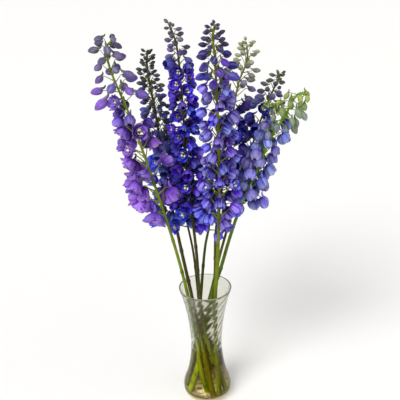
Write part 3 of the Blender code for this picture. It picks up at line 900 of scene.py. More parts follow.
def overlap(place, radius, taken):
    """How deep a ball would sink into those already there."""
    deepest = 0.0
    for other, other_radius in taken:
        deepest = max(deepest, radius + other_radius - (place - other).length)
    return deepest


def settled(route, at, k, plan, share, size, group, kind, taken, rng):
    """The first trial with room for the k-th flower, or else the one that sinks in least, with how deep it
    sinks, as a share of its radius, and its ball."""
    best = None
    stray = rng.uniform(-STRAY, STRAY)
    # Cups don't droop with the others: they look up a little.
    lift = -12 - mixed(plan["droop"], share) if kind == "cup" else 0
    radius = FLOWER_BALL[group] * size * MM
    for attempt in range(TRIALS):
        short = TRIAL_SHORT if attempt % 2 else 1.0
        swing = attempt // 2 * TRIAL_TURN * (-1) ** (attempt // 2)
        turn = math.radians(plan["turn"]) + k * GOLDEN_ANGLE + swing + stray
        # A one-sided spike turns most of its flowers to the left.
        turn -= plan.get("one_sided", 0.0) * math.sin(turn)
        trial = site(route, at, turn, plan, share, size, rng, lift, short)
        centre = trial["path"][-1] + trial["aim"] * radius
        front = trial["path"][-1] + trial["aim"] * 2.2 * radius
        outside = max(FRONT + radius - front.y, 0.0)
        depth = (overlap(centre, radius, taken) + 3 * outside) / radius
        if best is None or depth < best[0]:
            best = (depth, trial, (centre, radius))
        if depth < ROOM:
            break
    return best


def stretch(route, stem, group, low, high, taken, rng):
    """The florets or the buds of a stem, between two distances along its route."""
    plan = stem[group]
    count = max(int((high - low) / (plan["pitch"] * MM)), 1)
    sites = []
    for k in range(count):
        share = (k + 0.5 + rng.uniform(-STEP_SPREAD, STEP_SPREAD)) / count
        at = low + (high - low) * share
        size = mixed(plan["size"], share) * rng.uniform(*SIZE_RANGE)
        kind = "bud"
        if group == "floret":
            low_kind, high_kind = (pick(weights, rng.uniform()) for weights in stem["kinds"])
            kind = high_kind if rng.uniform() < share**1.5 else low_kind
        depth, flower, ball = settled(route, at, k, plan, share, size, group, kind, taken, rng)
        if depth <= CROWDED:
            taken.append(ball)
            sites.append({**flower, "kind": kind})
    return sites


def sprig_buds(side, plan, rng):
    """The buds of a side sprig."""
    for k in range(plan["buds"]):
        share = 1 - (1 - (k + 0.5) / plan["buds"]) ** 1.5
        at = side.length * (0.25 + 0.74 * share)
        flower = site(side, at, k * GOLDEN_ANGLE, plan, share, mixed(plan["size"], share), rng)
        yield {**flower, "kind": "bud", "share": 1.0}


@lru_cache(maxsize=1)
def arrangement():
    """Every stem's route, florets, buds and side sprigs."""
    made = {}
    taken = []
    for name, stem in STEMS.items():
        route = Route(stem)
        rng = np.random.default_rng(stem["seed"])
        first_floret, first_bud = (route.distance(stem[key] * MM) for key in ("florets_from", "buds_from"))
        florets = stretch(route, stem, "floret", first_floret, first_bud, taken, rng)
        buds = stretch(route, stem, "bud", first_bud, route.length - 1 * MM, taken, rng)
        made[name] = {"route": route, "floret": florets, "bud": buds, "sprigs": []}
        if "sprig" in stem:
            side = Route({"route": stem["sprig"]["route"], "radius": SPRIG_RADIUS})
            buds.extend(sprig_buds(side, stem["sprig"], rng))
            made[name]["sprigs"].append(side)
    return made


def point_cloud(name, rows):
    """A mesh of loose points with the numbers that the trees read."""
    mesh = bpy.data.meshes.new(name)
    mesh.from_pydata([row["place"] for row in rows], [], [])
    for label, kind in (("size", "FLOAT"), ("age", "FLOAT"), ("kind", "INT")):
        store(mesh, label, [row[label] for row in rows], kind)
    layer = mesh.attributes.new("turn", "FLOAT_VECTOR", "POINT")
    layer.data.foreach_set("vector", np.array([tuple(row["turn"]) for row in rows], np.float32).ravel())
    return mesh


def line_mesh(name, lines):
    """Polylines as a mesh of edges. Each line is places, thicknesses and an age."""
    places = []
    edges = []
    thickness = []
    ages = []
    along = []
    for line, widths, age in lines:
        first = len(places)
        places.extend(line)
        edges.extend((first + k, first + k + 1) for k in range(len(line) - 1))
        thickness.extend(widths)
        ages.extend([age] * len(line))
        along.extend(np.linspace(0, 1, len(line)))
    mesh = bpy.data.meshes.new(name)
    mesh.from_pydata(places, edges, [])
    store(mesh, "thickness", thickness)
    store(mesh, "age", ages)
    store(mesh, "along", along)
    return mesh


# -------------------------------------------------------------------------------------------- trees


def bloom_tree():
    """Sets one of a collection's shapes on every point, with its own turn, size and shade."""
    sockets = {"Shapes": "Collection", "Size": "Float", "Spread": "Float", "Seed": "Int"}
    tree, given = geometry_tree("bloom", sockets)
    node = partial(add, tree)
    shapes = node("GeometryNodeCollectionInfo", given["Shapes"], True, True)
    small = node(SUBTRACT, 1.0, given["Spread"])
    large = node(ADD, 1.0, given["Spread"])
    vary = node(RANDOM, small, large, inputs={"Seed": given["Seed"]})
    size = node(MULTIPLY, node(STORED, "size"), given["Size"], vary)
    turn = node("FunctionNodeEulerToRotation", node(STORED, "turn", data_type="FLOAT_VECTOR"))
    inputs = {
        "Points": given["Geometry"],
        "Instance": shapes,
        "Pick Instance": True,
        "Instance Index": node(STORED, "kind", data_type="INT"),
        "Rotation": turn,
        "Scale": size,
    }
    placed = node("GeometryNodeInstanceOnPoints", inputs=inputs)
    tone = node(RANDOM, 0.0, 1.0, inputs={"Seed": node(ADD, given["Seed"], 1)})
    inputs = {"Geometry": placed, "Name": "tone", "Value": tone}
    toned = node("GeometryNodeStoreNamedAttribute", inputs=inputs, data_type="FLOAT", domain="INSTANCE")
    return end_tree(tree, toned, given["Material"])


def swept(tree, geometry, sides, ridges=0.0, depth=0.0):
    """A closed tube along every edge path, as thick as the points' thickness, with ridges along it."""
    node = partial(add, tree)
    path = node("GeometryNodeMeshToCurve", geometry)
    ring = node("GeometryNodeCurvePrimitiveCircle", inputs={"Resolution": sides, "Radius": 1.0})
    around = node("GeometryNodeSplineParameter").outputs["Factor"]
    inputs = {"Geometry": ring, "Name": "around", "Value": around}
    marked = node("GeometryNodeStoreNamedAttribute", inputs=inputs)
    angle = node(MULTIPLY, around, 2 * math.pi)
    wave = node(COSINE, node(MULTIPLY, angle, ridges))
    grown = node(MULTIPLY_ADD, wave, depth, 1.0)
    scaled = node(VECTOR, node("GeometryNodeInputPosition"), grown, operation="SCALE")
    ridged = node("GeometryNodeSetPosition", marked, inputs={"Position": scaled})
    inputs = {"Curve": path, "Profile Curve": ridged, "Scale": node(STORED, "thickness"), "Fill Caps": True}
    return node("GeometryNodeCurveToMesh", inputs=inputs)


def stalk_tree():
    """A ridged stalk along its route."""
    tree, given = geometry_tree("stalk", {"Sides": "Int", "Ridges": "Int", "Ridge depth": "Float"})
    tube = swept(tree, given["Geometry"], given["Sides"], given["Ridges"], given["Ridge depth"])
    return end_tree(tree, tube, given["Material"])


def pedicel_tree():
    """Pedicels along their paths, with a bract at every bract point."""
    tree, given = geometry_tree("pedicels", {"Sides": "Int", "Bract points": "Object", "Bract": "Object"})
    node = partial(add, tree)
    names = ("Bract points", "Bract")
    points, bract = (node("GeometryNodeObjectInfo", given[name]).outputs["Geometry"] for name in names)
    turn = node("FunctionNodeEulerToRotation", node(STORED, "turn", data_type="FLOAT_VECTOR"))
    inputs = {"Points": points, "Instance": bract, "Rotation": turn, "Scale": node(STORED, "size")}
    bracts = node("GeometryNodeInstanceOnPoints", inputs=inputs)
    join = node("GeometryNodeJoinGeometry", swept(tree, given["Geometry"], given["Sides"]))
    tree.links.new(bracts.outputs[0], join.inputs[0])
    return end_tree(tree, join, given["Material"])


def swirl_tree():
    """Pushes the outer wall out and in again in ribs that climb round it."""
    sockets = {"Ribs": "Int", "Depth": "Float", "Swirl": "Float", "Height": "Float"}
    tree, given = geometry_tree("swirl", sockets)
    node = partial(add, tree)
    x, y, z = node(SPLIT, node("GeometryNodeInputPosition")).outputs
    height = node(DIVIDE, z, given["Height"])
    turned = node(SUBTRACT, node(ARCTAN2, y, x), node(MULTIPLY, height, given["Swirl"]))
    wave = node(COSINE, node(MULTIPLY, turned, given["Ribs"]))
    out = node(VECTOR, node(COMBINE, x, y), operation="NORMALIZE")
    push = node(MULTIPLY, wave, given["Depth"], node(STORED, "ribbed"))
    offset = node(VECTOR, out, push, operation="SCALE")
    moved = node("GeometryNodeSetPosition", given["Geometry"], inputs={"Offset": offset})
    return end_tree(tree, moved, given["Material"])


# ---------------------------------------------------------------------------------------- materials


def new_material(name):
    """A material without nodes, and the function that adds them to it."""
    material = bpy.data.materials.new(name)
    material.use_nodes = True
    material.node_tree.nodes.clear()
    return material, partial(add, material.node_tree)


def per_metre(size):
    """The scale of a noise in metres whose blotches are about that many mm across."""
    return 1 / (size * MM)


def band(node, value, middle, width):
    """1 where the value is at the middle, and smoothly down to 0 a width away."""
    away = node(ABSOLUTE, node(SUBTRACT, value, middle))
    return node(RAMP, away, width, 0.0)


def layered(node, body, layers):
    """A colour with others laid over it in turn, each as strong as its share times its strength."""
    for share, strength, tint in layers:
        body = node(BLEND, node(MULTIPLY, share, strength), body, tint)
    return body


def sepal_marks(node):
    """What the colour of a sepal or a bud goes by: where a point lies on it, which one it is, and its veins
    and mottle."""
    u, v, _ = node(SPLIT, node("ShaderNodeUVMap", uv_map="UVMap")).outputs
    tone, age, leaf = (node(NUMBER, attribute_name=word).outputs["Fac"] for word in ("tone", "age", "leaf"))
    on = SimpleNamespace(v=v, tone=tone, age=age)
    on.across = node(FRACT, u)
    on.spur = node(GREATER, u, SPUR_TILE)
    on.inner = node(SUBTRACT, node(GREATER, u, 1.0), on.spur)
    on.whorl = node(GREATER, leaf, 1.0)
    on.leaf = node(FRACT, leaf)
    on.other_tone = node(FRACT, node(MULTIPLY, tone, 7.31))
    on.shade = node(MULTIPLY_ADD, on.leaf, 0.6, node(MULTIPLY, tone, 0.4))
    # The veins are about 1 mm apart, which is too fine to show, so they are drawn 2.4 mm apart and 25 mm
    # long, on a sepal 22 mm wide and 28 mm long. They move on from one sepal to the next.
    moved = node(MULTIPLY, node(ADD, on.leaf, tone), 17.0)
    drawn = node(COMBINE, node(MULTIPLY, on.across, 22 / 2.4), node(MULTIPLY, v, 28 / 25), moved)
    on.veins = node(NOISE, drawn, 1.0, 3.0, 0.55)
    # Soft mottle, 5.5 mm across.
    on.mottle = node(NOISE, node("ShaderNodeTexCoord").outputs["Object"], per_metre(5.5), 3.0)
    return on


def bud_colour(node, look, on):
    """A bud's skin: bluer low on the spike and greener high on it, with pale veins, five green keels and a
    green tip."""
    body = node(BLEND, node(RAMP, on.age, 0.0, 0.7), look.bud, look.tip)
    bluish = node(MULTIPLY, node(RAMP, on.shade, 0.3, 1.0), node(RAMP, on.age, 1.1, 0.0), 0.5)
    body = node(BLEND, bluish, body, look.sepal)
    pale = node(BLEND, 0.5, body, node(BLEND, on.age, "#B8B4C8", "#C6CBAE"))
    green = "#5E6A38"
    layers = [
        (node(RAMP, on.veins, 0.5, 0.68), 0.5, pale),
        (node(MAXIMUM, node(RAMP, on.v, 0.3, 0.0), on.spur), 0.55, "#6E7A44"),
        # Five keels run up the bud, to a tip that is as green.
        (node(RAMP, node(PINGPONG, node(MULTIPLY, on.across, 5.0), 0.5), 0.34, 0.5), 0.4, green),
        (node(RAMP, on.v, 0.86, 1.0), 0.6, green),
        (node(RAMP, on.veins, 0.48, 0.3), 0.4, look.deep),
    ]
    return layered(node, body, layers)


def tissue_colour(node, look, on):
    """A sepal's ground colour. It differs from sepal to sepal, is greyer on young flowers, paler towards the
    tip, and more vivid inside."""
    body = node(BLEND, node(RAMP, on.shade, 0.15, 0.8), look.deep, look.sepal)
    body = node(BLEND, 0.35, body, look.sepal)
    greyer = (node(RAMP, on.age, 0.6, 1.2), 0.6, "#6C6A9C")
    paler = (node(RAMP, on.v, 0.45, 1.0), 0.45 + 0.35 * look.streaked, look.light)
    body = layered(node, body, [greyer, paler])
    # Towards the tip some flowers turn as vivid outside as they are inside.
    some = node(RAMP, on.other_tone, 0.25, 0.85)
    lip = node(MULTIPLY, node(RAMP, on.v, 0.3, 0.9), some, 0.6, look.streaked)
    vivid = node(MULTIPLY, on.inner, node(MULTIPLY_ADD, on.other_tone, 0.5, 0.5))
    return node(BLEND, node(MAXIMUM, vivid, lip), body, look.inside)


def sepal_colour(node, look, on):
    """A sepal's skin: a broad pale band along its middle, partly a real streak and partly a painted
    highlight, with a faint dark midrib, fine veins and a deep base. On streaked stems its outer edges are
    painted shade."""
    v, across, veins = on.v, on.across, on.veins
    # A broad pale band along every sepal, partly a real streak and partly a painted highlight.
    streak_and_highlight = node(MULTIPLY, band(node, across, 0.52, 0.4), node(RAMP, v, 0.1, 0.45))
    streak_and_highlight = node(MULTIPLY, streak_and_highlight, node(MULTIPLY_ADD, veins, 1.8, -0.1), node(RAMP, on.leaf, 0.1, 0.45))
    fine = node(MULTIPLY, node(RAMP, veins, 0.52, 0.66), node(RAMP, v, 0.1, 0.4), 0.6)
    pale = node(MULTIPLY, node(MAXIMUM, streak_and_highlight, fine), look.streaked)
    pale = node(MAXIMUM, pale, node(MULTIPLY, on.whorl, node(RAMP, v, 0.1, 0.7), 0.55))
    body = node(BLEND, pale, tissue_colour(node, look, on), look.light)
    rib = node(MULTIPLY, band(node, across, 0.5, 0.07), node(SUBTRACT, 1.0, on.inner))
    # The edges are paler, and the less a stem is streaked, the more they take on the green of its youngest
    # buds.
    # On stems streaked past a half the outer edges are painted shade instead, dark like the shaded slits
    # between the sepals.
    edge = node(MULTIPLY, band(node, node(PINGPONG, across, 0.5), 0.0, 0.1), node(RAMP, v, 0.15, 0.5))
    # Painted shade: on stems streaked past a half, the outer edges are dark.
    outer = look.deep if look.streaked > 0.5 else look.light
    edge_tint_or_shade = node(BLEND, look.streaked, look.tip, node(BLEND, on.inner, outer, look.light))
    # A small greenish dot marks the tip of each sepal.
    aside = node(ABSOLUTE, node(SUBTRACT, across, 0.5))
    near = node(ADD, aside, node(ABSOLUTE, node(SUBTRACT, v, 0.88)))
    dot = node(MULTIPLY, node(RAMP, near, 0.14, 0.04), node(SUBTRACT, 1.0, on.spur))
    layers = [
        (rib, 0.4 * look.streaked, look.deep),
        (node(RAMP, veins, 0.46, 0.32), 0.75 * look.streaked, look.deep),
        (edge, 0.7, edge_tint_or_shade),
        (node(RAMP, v, 0.45, 0.05), 0.85, look.deep),
        (dot, 0.6, "#6E7450"),
    ]
    return layered(node, body, layers)


def sepal_material(name, look, budding=False):
    """Delphinium sepals and buds: thin, velvety, coloured tissue that lets some light through. Its tone
    differs from flower to flower."""
    material, node = new_material(f"delphinium_{'bud' if budding else 'sepal'}_{name}")
    on = sepal_marks(node)
    body = bud_colour(node, look, on) if budding else sepal_colour(node, look, on)
    body = layered(node, body, [(node(MULTIPLY, on.spur, node(RAMP, on.v, 0.35, 1.0)), 0.5, "#4A4458")])
    varied = node(MULTIPLY_ADD, on.other_tone, 0.5, 0.75)
    bright = node(MULTIPLY, node(MULTIPLY_ADD, on.mottle, 0.7, 0.65), varied)
    hue = node(MULTIPLY_ADD, on.tone, 0.035, 0.485)
    inputs = {"Color": body, "Value": bright, "Hue": hue, "Saturation": 1.06}
    body = node("ShaderNodeHueSaturation", inputs=inputs)
    relief = node(MULTIPLY_ADD, on.veins, 1.0, node(MULTIPLY, on.mottle, 0.3))
    inputs = {
        "Base Color": body,
        "Roughness": node(MULTIPLY_ADD, on.mottle, 0.15, 0.45),
        "IOR": 1.4,
        "Specular IOR Level": 0.3,
        "Sheen Weight": 0.06,
        "Sheen Roughness": 0.4,
        "Normal": node(BUMP, inputs={"Height": relief, "Strength": 0.5, "Distance": 0.6 * MM}),
    }
    thin = node("ShaderNodeBsdfTranslucent", body)
    node(OUTPUT, node(MIX_SHADER, 0.1 if budding else 0.25, node(PRINCIPLED, inputs=inputs), thin))
    return material


def bee_material():
    """The small inner petals: cream, hairy and matt, browner at the base, round nearly black stamens."""
    material, node = new_material("delphinium_bee_cream")
    u, v, _ = node(SPLIT, node("ShaderNodeUVMap", uv_map="UVMap")).outputs
    # The hairs are 0.1 mm thick, which is too fine to show, so they are drawn as tufts 1.1 mm across.
    hair = node(NOISE, node("ShaderNodeTexCoord").outputs["Object"], per_metre(1.1), 2.0)
    body = node(BLEND, node(RAMP, v, 0.1, 0.6), "#8A7A66", "#EFE9D6")
    layers = [
        (node(RAMP, hair, 0.5, 0.65), 0.45, "#B8A27A"),
        # Some flowers have dark bees, and the stamens are on a tile of their own.
        (node(GREATER, node(NUMBER, attribute_name="tone").outputs["Fac"], 0.72), 0.75, "#3A2C30"),
        (node(GREATER, u, STAMEN_TILE - 0.5), 1.0, "#2A2430"),
    ]
    body = layered(node, body, layers)
    relief = node(BUMP, inputs={"Height": hair, "Strength": 0.6, "Distance": 0.4 * MM})
    node(OUTPUT, node(PRINCIPLED, inputs={"Base Color": body, "Roughness": 0.75, "Normal": relief}))
    return material


def stalk_material(name, look, slender=False):
    """Delphinium stem: smooth, faintly waxed green or brown skin with fine lengthwise lines."""
    material, node = new_material(f"delphinium_{'pedicel' if slender else 'stem'}_{name}")
    words = ("along", "around", "age")
    along, around, age = (node(NUMBER, attribute_name=word).outputs["Fac"] for word in words)
    share = age if slender else along
    position = node("ShaderNodeTexCoord").outputs["Object"]
    # The fibres are about 0.3 mm apart, which is too fine to show, so they are drawn 0.9 mm apart and 60 mm
    # long, on a stalk 27 mm round and 840 mm long. The blotches are 17 mm across.
    lines = node(COMBINE, node(MULTIPLY, around, 27 / 0.9), node(MULTIPLY, along, 840 / 60))
    fibre = node(NOISE, lines, 1.0, 2.0)
    blotch = node(NOISE, position, per_metre(17), 3.0)
    body = node(BLEND, node(RAMP, share, 0.14, 0.26), look.foot, look.middle)
    body = node(BLEND, node(RAMP, share, 0.4, 0.85), body, look.top)
    if slender:
        body = node(BLEND, node(RAMP, along, 0.35, 0.9), "#87943C", "#4A4258")
        body = node(BLEND, 0.4, body, look.top)
    height = node(SPLIT, position).outputs["Z"]
    layers = [
        (node(RAMP, fibre, 0.5, 0.75), 0.45, node(BLEND, 0.4, body, "#AEB23C")),
        (node(RAMP, blotch, 0.48, 0.72), 0.8, node(BLEND, 0.6, body, "#241E08")),
        # From the water line to just above the rim the skin is darkened olive-brown: painted shade on the
        # stems inside the glass.
        (
            node(MULTIPLY, node(RAMP, height, 140 * MM, 170 * MM), node(RAMP, height, 300 * MM, 240 * MM)),
            0.45,
            "#4C461E",
        ),
    ]
    body = layered(node, body, layers)
    inputs = {
        "Base Color": body,
        "Roughness": node(MULTIPLY_ADD, blotch, 0.2, 0.36),
        "IOR": 1.45,
        # Under water the skin is wet through and has next to no gloss.
        "Specular IOR Level": node(MULTIPLY, node(RAMP, height, 120 * MM, 135 * MM), 0.16),
        "Normal": node(BUMP, inputs={"Height": fibre, "Strength": 0.5, "Distance": 0.4 * MM}),
    }
    node(OUTPUT, node(PRINCIPLED, inputs=inputs))
    return material


def glass_material(look):
    """Soda-lime glass, blown in a ribbed mould: clear, with a slightly wavy skin. The thick glass of the foot
    shows its olive cast. Painted light and a painted reflection lie on its heel, and painted shade lies on
    its back wall."""
    material, node = new_material("soda_lime_glass")
    position = node("ShaderNodeTexCoord").outputs["Object"]
    x, y, height = node(SPLIT, position).outputs
    radius = node(VECTOR, node(COMBINE, x, y), operation="LENGTH")
    waves = node(NOISE, position, per_metre(22), 1.0)
    inside = node(MULTIPLY, node(LESS, radius, INNER_RADIUS * MM), node(GREATER, height, INNER_BOTTOM * MM))
    outside = node(SUBTRACT, 1.0, inside)
    tint = node(BLEND, node(RAMP, height, WATER_LINE * MM, 110 * MM), look.glass, look.wet)
    tint = node(BLEND, node(RAMP, height, 45 * MM, 20 * MM), tint, look.thick)
    # Painted shade: a brown tint on the back of the inner wall, behind the stems and up to the water line,
    # stands for the shade seen there.
    climbed = node(MULTIPLY_ADD, node(MAXIMUM, y, 0.0), -0.5, height)
    painted_shade = node(RAMP, height, WATER_LINE * MM, 100 * MM)
    painted_shade = node(MULTIPLY, painted_shade, inside, node(RAMP, y, -15 * MM, 20 * MM))
    painted_shade = node(MULTIPLY, painted_shade, node(RAMP, climbed, 22 * MM, 27 * MM))
    tint = node(BLEND, painted_shade, tint, "#B4A16A")
    inputs = {
        "Base Color": tint,
        # Above the water a thin bloom of dried drops softens what is seen through the wall.
        "Roughness": node(MULTIPLY, node(RAMP, height, 140 * MM, 160 * MM), 0.16),
        "IOR": 1.5,
        "Specular Tint": (0.04, 0.04, 0.04, 1.0),
        "Transmission Weight": 1.0,
        "Normal": node(BUMP, inputs={"Height": waves, "Strength": 0.25, "Distance": 0.5 * MM}),
    }
    lamps = node("ShaderNodeLightPath").outputs["Is Shadow Ray"]
    clear = node("ShaderNodeBsdfTransparent", "#FCFCFA")
    glass = node(MIX_SHADER, lamps, node(PRINCIPLED, inputs=inputs), clear)
    # Pale silt, browner in patches and towards the wall, lies on the inner floor and climbs a little at the
    # back. Its grit is under 1 mm, which is too fine to show, so it is drawn 3 mm across.
    specks = node(NOISE, position, per_metre(3), 2.0, 0.6)
    patches = node(NOISE, position, per_metre(13), 2.0, 0.6)
    patches = node(MULTIPLY_ADD, node(RAMP, radius, 26 * MM, 44 * MM), 0.16, patches)
    layers = [
        (node(RAMP, patches, 0.42, 0.58), 0.8, look.stain),
        (node(RAMP, specks, 0.52, 0.62), 0.75, "#FFFCEE"),
        (node(RAMP, specks, 0.42, 0.34), 0.6, look.stain),
    ]
    silt = layered(node, look.silt, layers)
    # Below it a pale olive coat on the solid heel is partly the olive cast of thick glass and partly painted
    # light for the bright floor seen through it. It lies under a thin brown line that is a painted reflection
    # of the inner floor's stained edge.
    wander = node(MULTIPLY_ADD, patches, 1.6 * MM, height)
    line = node(MULTIPLY, outside, band(node, wander, 25.8 * MM, 3.4 * MM), node(RAMP, specks, 0.2, 0.4))
    # The same painted shade lays a dark diffuse coat on the back wall, and the last 2 mm below the
    # fire-polished rim scatter a little light.
    rim = node(RAMP, height, (VASE_HEIGHT - 2) * MM, (VASE_HEIGHT - 1) * MM)
    coats = [
        (node(MULTIPLY, inside, node(RAMP, climbed, 25 * MM, 21 * MM)), 0.92, silt),
        # Painted shade on the back wall.
        (painted_shade, 0.3, "#6E6038"),
        # Painted light, with the olive cast of thick glass, on the heel.
        (node(MULTIPLY, outside, node(RAMP, height, 27 * MM, 17 * MM)), 0.6, look.heel),
        # Painted reflection of the inner floor's stained edge.
        (line, 1.0, look.stain),
        (rim, 0.45, "#B4B49A"),
    ]
    for share, strength, tint in coats:
        glass = node(MIX_SHADER, node(MULTIPLY, share, strength), glass, node(DIFFUSE, tint))
    node(OUTPUT, glass)
    return material


def water_material(look):
    """Vase water: clear, a little yellowed by the stems, with a faint ripple on its surface."""
    material, node = new_material("vase_water")
    position = node("ShaderNodeTexCoord").outputs["Object"]
    ripple = node(NOISE, position, per_metre(33), 1.0)
    height = node(SPLIT, position).outputs["Z"]
    inputs = {
        "Base Color": node(BLEND, node(RAMP, height, 40 * MM, 60 * MM), look.foot, look.tint),
        "Roughness": 0.0,
        "IOR": 1.33,
        "Specular Tint": (0.02, 0.02, 0.02, 1.0),
        "Transmission Weight": 1.0,
        "Normal": node(BUMP, inputs={"Height": ripple, "Strength": 0.1, "Distance": 0.4 * MM}),
    }
    lamps = node("ShaderNodeLightPath").outputs["Is Shadow Ray"]
    clear = node("ShaderNodeBsdfTransparent", "#FDFCF8")
    node(OUTPUT, node(MIX_SHADER, lamps, node(PRINCIPLED, inputs=inputs), clear))
    return material


def floor_material(look):
    """Matt white painted board with a barely visible mottle."""
    material, node = new_material("painted_board")
    mottle = node(NOISE, node("ShaderNodeTexCoord").outputs["Object"], per_metre(80), 3.0)
    body = node(BLEND, node(MULTIPLY, mottle, 0.1), look.floor, "#E8E7E4")
    node(OUTPUT, node(PRINCIPLED, inputs={"Base Color": body, "Roughness": 0.85}))
    return material


# ---------------------------------------------------------------------------------------- the glass


def smooth_rows(rows, steps):
    """Rows of numbers on a smooth curve through the given ones."""
    rows = np.array(rows, float)
    ends = np.vstack([2 * rows[0] - rows[1], rows, 2 * rows[-1] - rows[-2]])
    out = []
    for before, start, end, after in zip(ends, ends[1:], ends[2:], ends[3:]):
        slope = end - before
        square = 2 * before - 5 * start + 4 * end - after
        cube = 3 * start - before - 3 * end + after
        shares = [k / steps for k in range(steps)]
        out.extend(0.5 * (2 * start + slope * t + square * t**2 + cube * t**3) for t in shares)
    out.append(rows[-1])
    return [tuple(row) for row in out]


def wall_at(height):
    """The vase's wall gets thinner from the foot up to the rim."""
    share = clamped((height - FOOT_HEIGHT) / (VASE_HEIGHT - FOOT_HEIGHT))
    return FOOT_WALL + (RIM_WALL - FOOT_WALL) * math.sqrt(share)


def inner_wall():
    """(radius, height) of the inside of the vase, from the middle of its floor to the rim."""
    side = [(r - wall_at(z), z) for z, r in smooth_rows(VASE_OUTLINE, 8) if z > FOOT_HEIGHT]
    return smooth_rows(VASE_FLOOR + side[:1], 3)[:-1] + side


def vase_profile(inner):
    """(radius, height) points up the given inside, over the rim, down the outside and in under the base."""
    outer = smooth_rows([(r, z) for z, r in VASE_OUTLINE], 8)
    low, high = inner[-1][0], outer[-1][0]
    top = VASE_HEIGHT
    lip = [(low + 0.5, top - 0.5), ((low + high) / 2, top), (high - 0.4, top - 0.5)]
    base = [(BASE_RADIUS + BASE_BEVEL, 1.0), (BASE_RADIUS, 0.0), (BASE_RADIUS / 2, 0.0), (0.0, 0.0)]
    return inner + lip + outer[::-1] + base


def turned(name, profile, sides, ribbed=None):
    """A closed mesh turned about Z from (radius, height) points in mm, outer side from top to bottom."""
    mesh = bpy.data.meshes.new(name)
    places = [(radius * MM, 0.0, height * MM) for radius, height in profile]
    mesh.from_pydata(places, [(k, k + 1) for k in range(len(places) - 1)], [])
    store(mesh, "ribbed", ribbed or [0.0] * len(places))
    thing = linked(name, mesh)
    screw = thing.modifiers.new("turn", "SCREW")
    screw.steps = sides
    screw.render_steps = sides
    screw.use_merge_vertices = True
    screw.merge_threshold = 0.01 * MM
    return baked(thing)


# ---------------------------------------------------------------------------------------- operators


def settings():
    """The settings of the whole arrangement."""
    return bpy.context.scene.delphinium


def stem_look(name):
    """The colours of one stem."""
    return getattr(settings(), name)


def finish_piece(piece, slot, *nodes):
    """Tie a piece to the frame: its body and the nodes that it stands for. slot, its material slot, is not
    used.
    """
    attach(piece, BODY)
    if nodes:
        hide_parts(*nodes)


class DELPHINIUM_OT_vase(Operator):
    """Blow the swirled glass vase"""

    bl_idname = "delphinium.vase"
    bl_label = "Vase"

    def execute(self, context):
        look = settings().vase
        inner = inner_wall()
        profile = vase_profile(inner)
        water_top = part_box("water")[1].z / MM
        ribbed = []
        for k, (_, height) in enumerate(profile):
            fade_in = clamped((height - water_top - RIBS_FROM) / RIBS_GROW)
            fade_out = clamped((VASE_HEIGHT - 1 - height) / RIBS_END)
            ribbed.append(fade_in * fade_out * (1.0 if k < len(inner) else RIBS_OUTSIDE))
        mesh = turned("vase_turned", profile, VASE_SIDES, ribbed)
        values = {"Ribs": look.ribs, "Depth": look.rib_depth, "Swirl": look.swirl}
        values["Height"] = VASE_HEIGHT * MM
        vase = grow("glass_vase", mesh, swirl_tree(), glass_material(look), **values)
        finish_piece(vase, "vase_glass", "vase")
        return {"FINISHED"}


class DELPHINIUM_OT_water(Operator):
    """Fill the vase with water"""

    bl_idname = "delphinium.water"
    bl_label = "Water"

    def execute(self, context):
        look = settings().water
        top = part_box("water")[1].z / MM
        climb = look.meniscus / MM
        inner = inner_wall()
        # The floor is left out, as its height hardly rises.
        radii, heights = zip(*inner[3:])
        edge = float(np.interp(top, heights, radii))
        surface = [(0.0, top), (edge * 0.5, top), (edge - 6, top), (edge - 3, top + climb * 0.15)]
        surface += [(edge - 1.2, top + climb * 0.5), (edge + WETTED, top + climb)]
        wall = [(r + WETTED if r else 0.0, z - WETTED) for r, z in reversed(inner) if z < top - 4]
        mesh = turned("water_turned", surface + wall, WATER_SIDES)
        mesh.materials.append(water_material(look))
        mesh.shade_smooth()
        finish_piece(linked("vase_water", mesh), "water", "water")
        return {"FINISHED"}


class DELPHINIUM_OT_stalks(Operator):
    """Grow the nine stalks"""

    bl_idname = "delphinium.stalks"
    bl_label = "Stalks"

    def execute(self, context):
        look = settings().stalks
        tree = stalk_tree()
        for name, grown in arrangement().items():
            route = grown["route"]
            count = int(route.length / (STALK_STEP * MM)) + 1
            reach = np.linspace(0, route.length, count)
            widths = np.array([route.radius(d) for d in reach])
            places = [route.at(d) for d in reach]
            soaked = [clamped((SOAKED_FROM - place.z / MM) / SOAKED_FADE) for place in places]
            widths *= 1 + look.soaked * np.array(soaked)
            for height in STEMS[name]["scars"]:
                away = (reach - route.distance(height * MM)) / (SCAR_LENGTH * MM)
                widths *= 1 + SCAR_SWELL * np.exp(-(away**2))
            mesh = line_mesh(f"{name}_line", [(places, widths, 0.0)])
            material = stalk_material(name, stem_look(name))
            values = {"Sides": STALK_SIDES, "Ridges": look.ridges, "Ridge depth": look.ridge_depth}
            stalk = grow(f"{name}_stalk", mesh, tree, material, **values)
            finish_piece(stalk, f"stalk_{name}", f"stalk_{name}")
        return {"FINISHED"}


def bract_rows(sites, size):
    """A bract under every pedicel, which stands out from the stalk and a little up."""
    rows = []
    for flower in sites:
        aim = (flower["out"] * 0.85 + UP * 0.6).normalized()
        upward = (UP - aim * aim.z).normalized()
        start = flower["path"][0] - UP * 1.2 * MM
        row = {"place": start, "turn": facing(aim, upward), "size": size}
        rows.append({**row, "age": flower["share"], "kind": 0})
    return rows


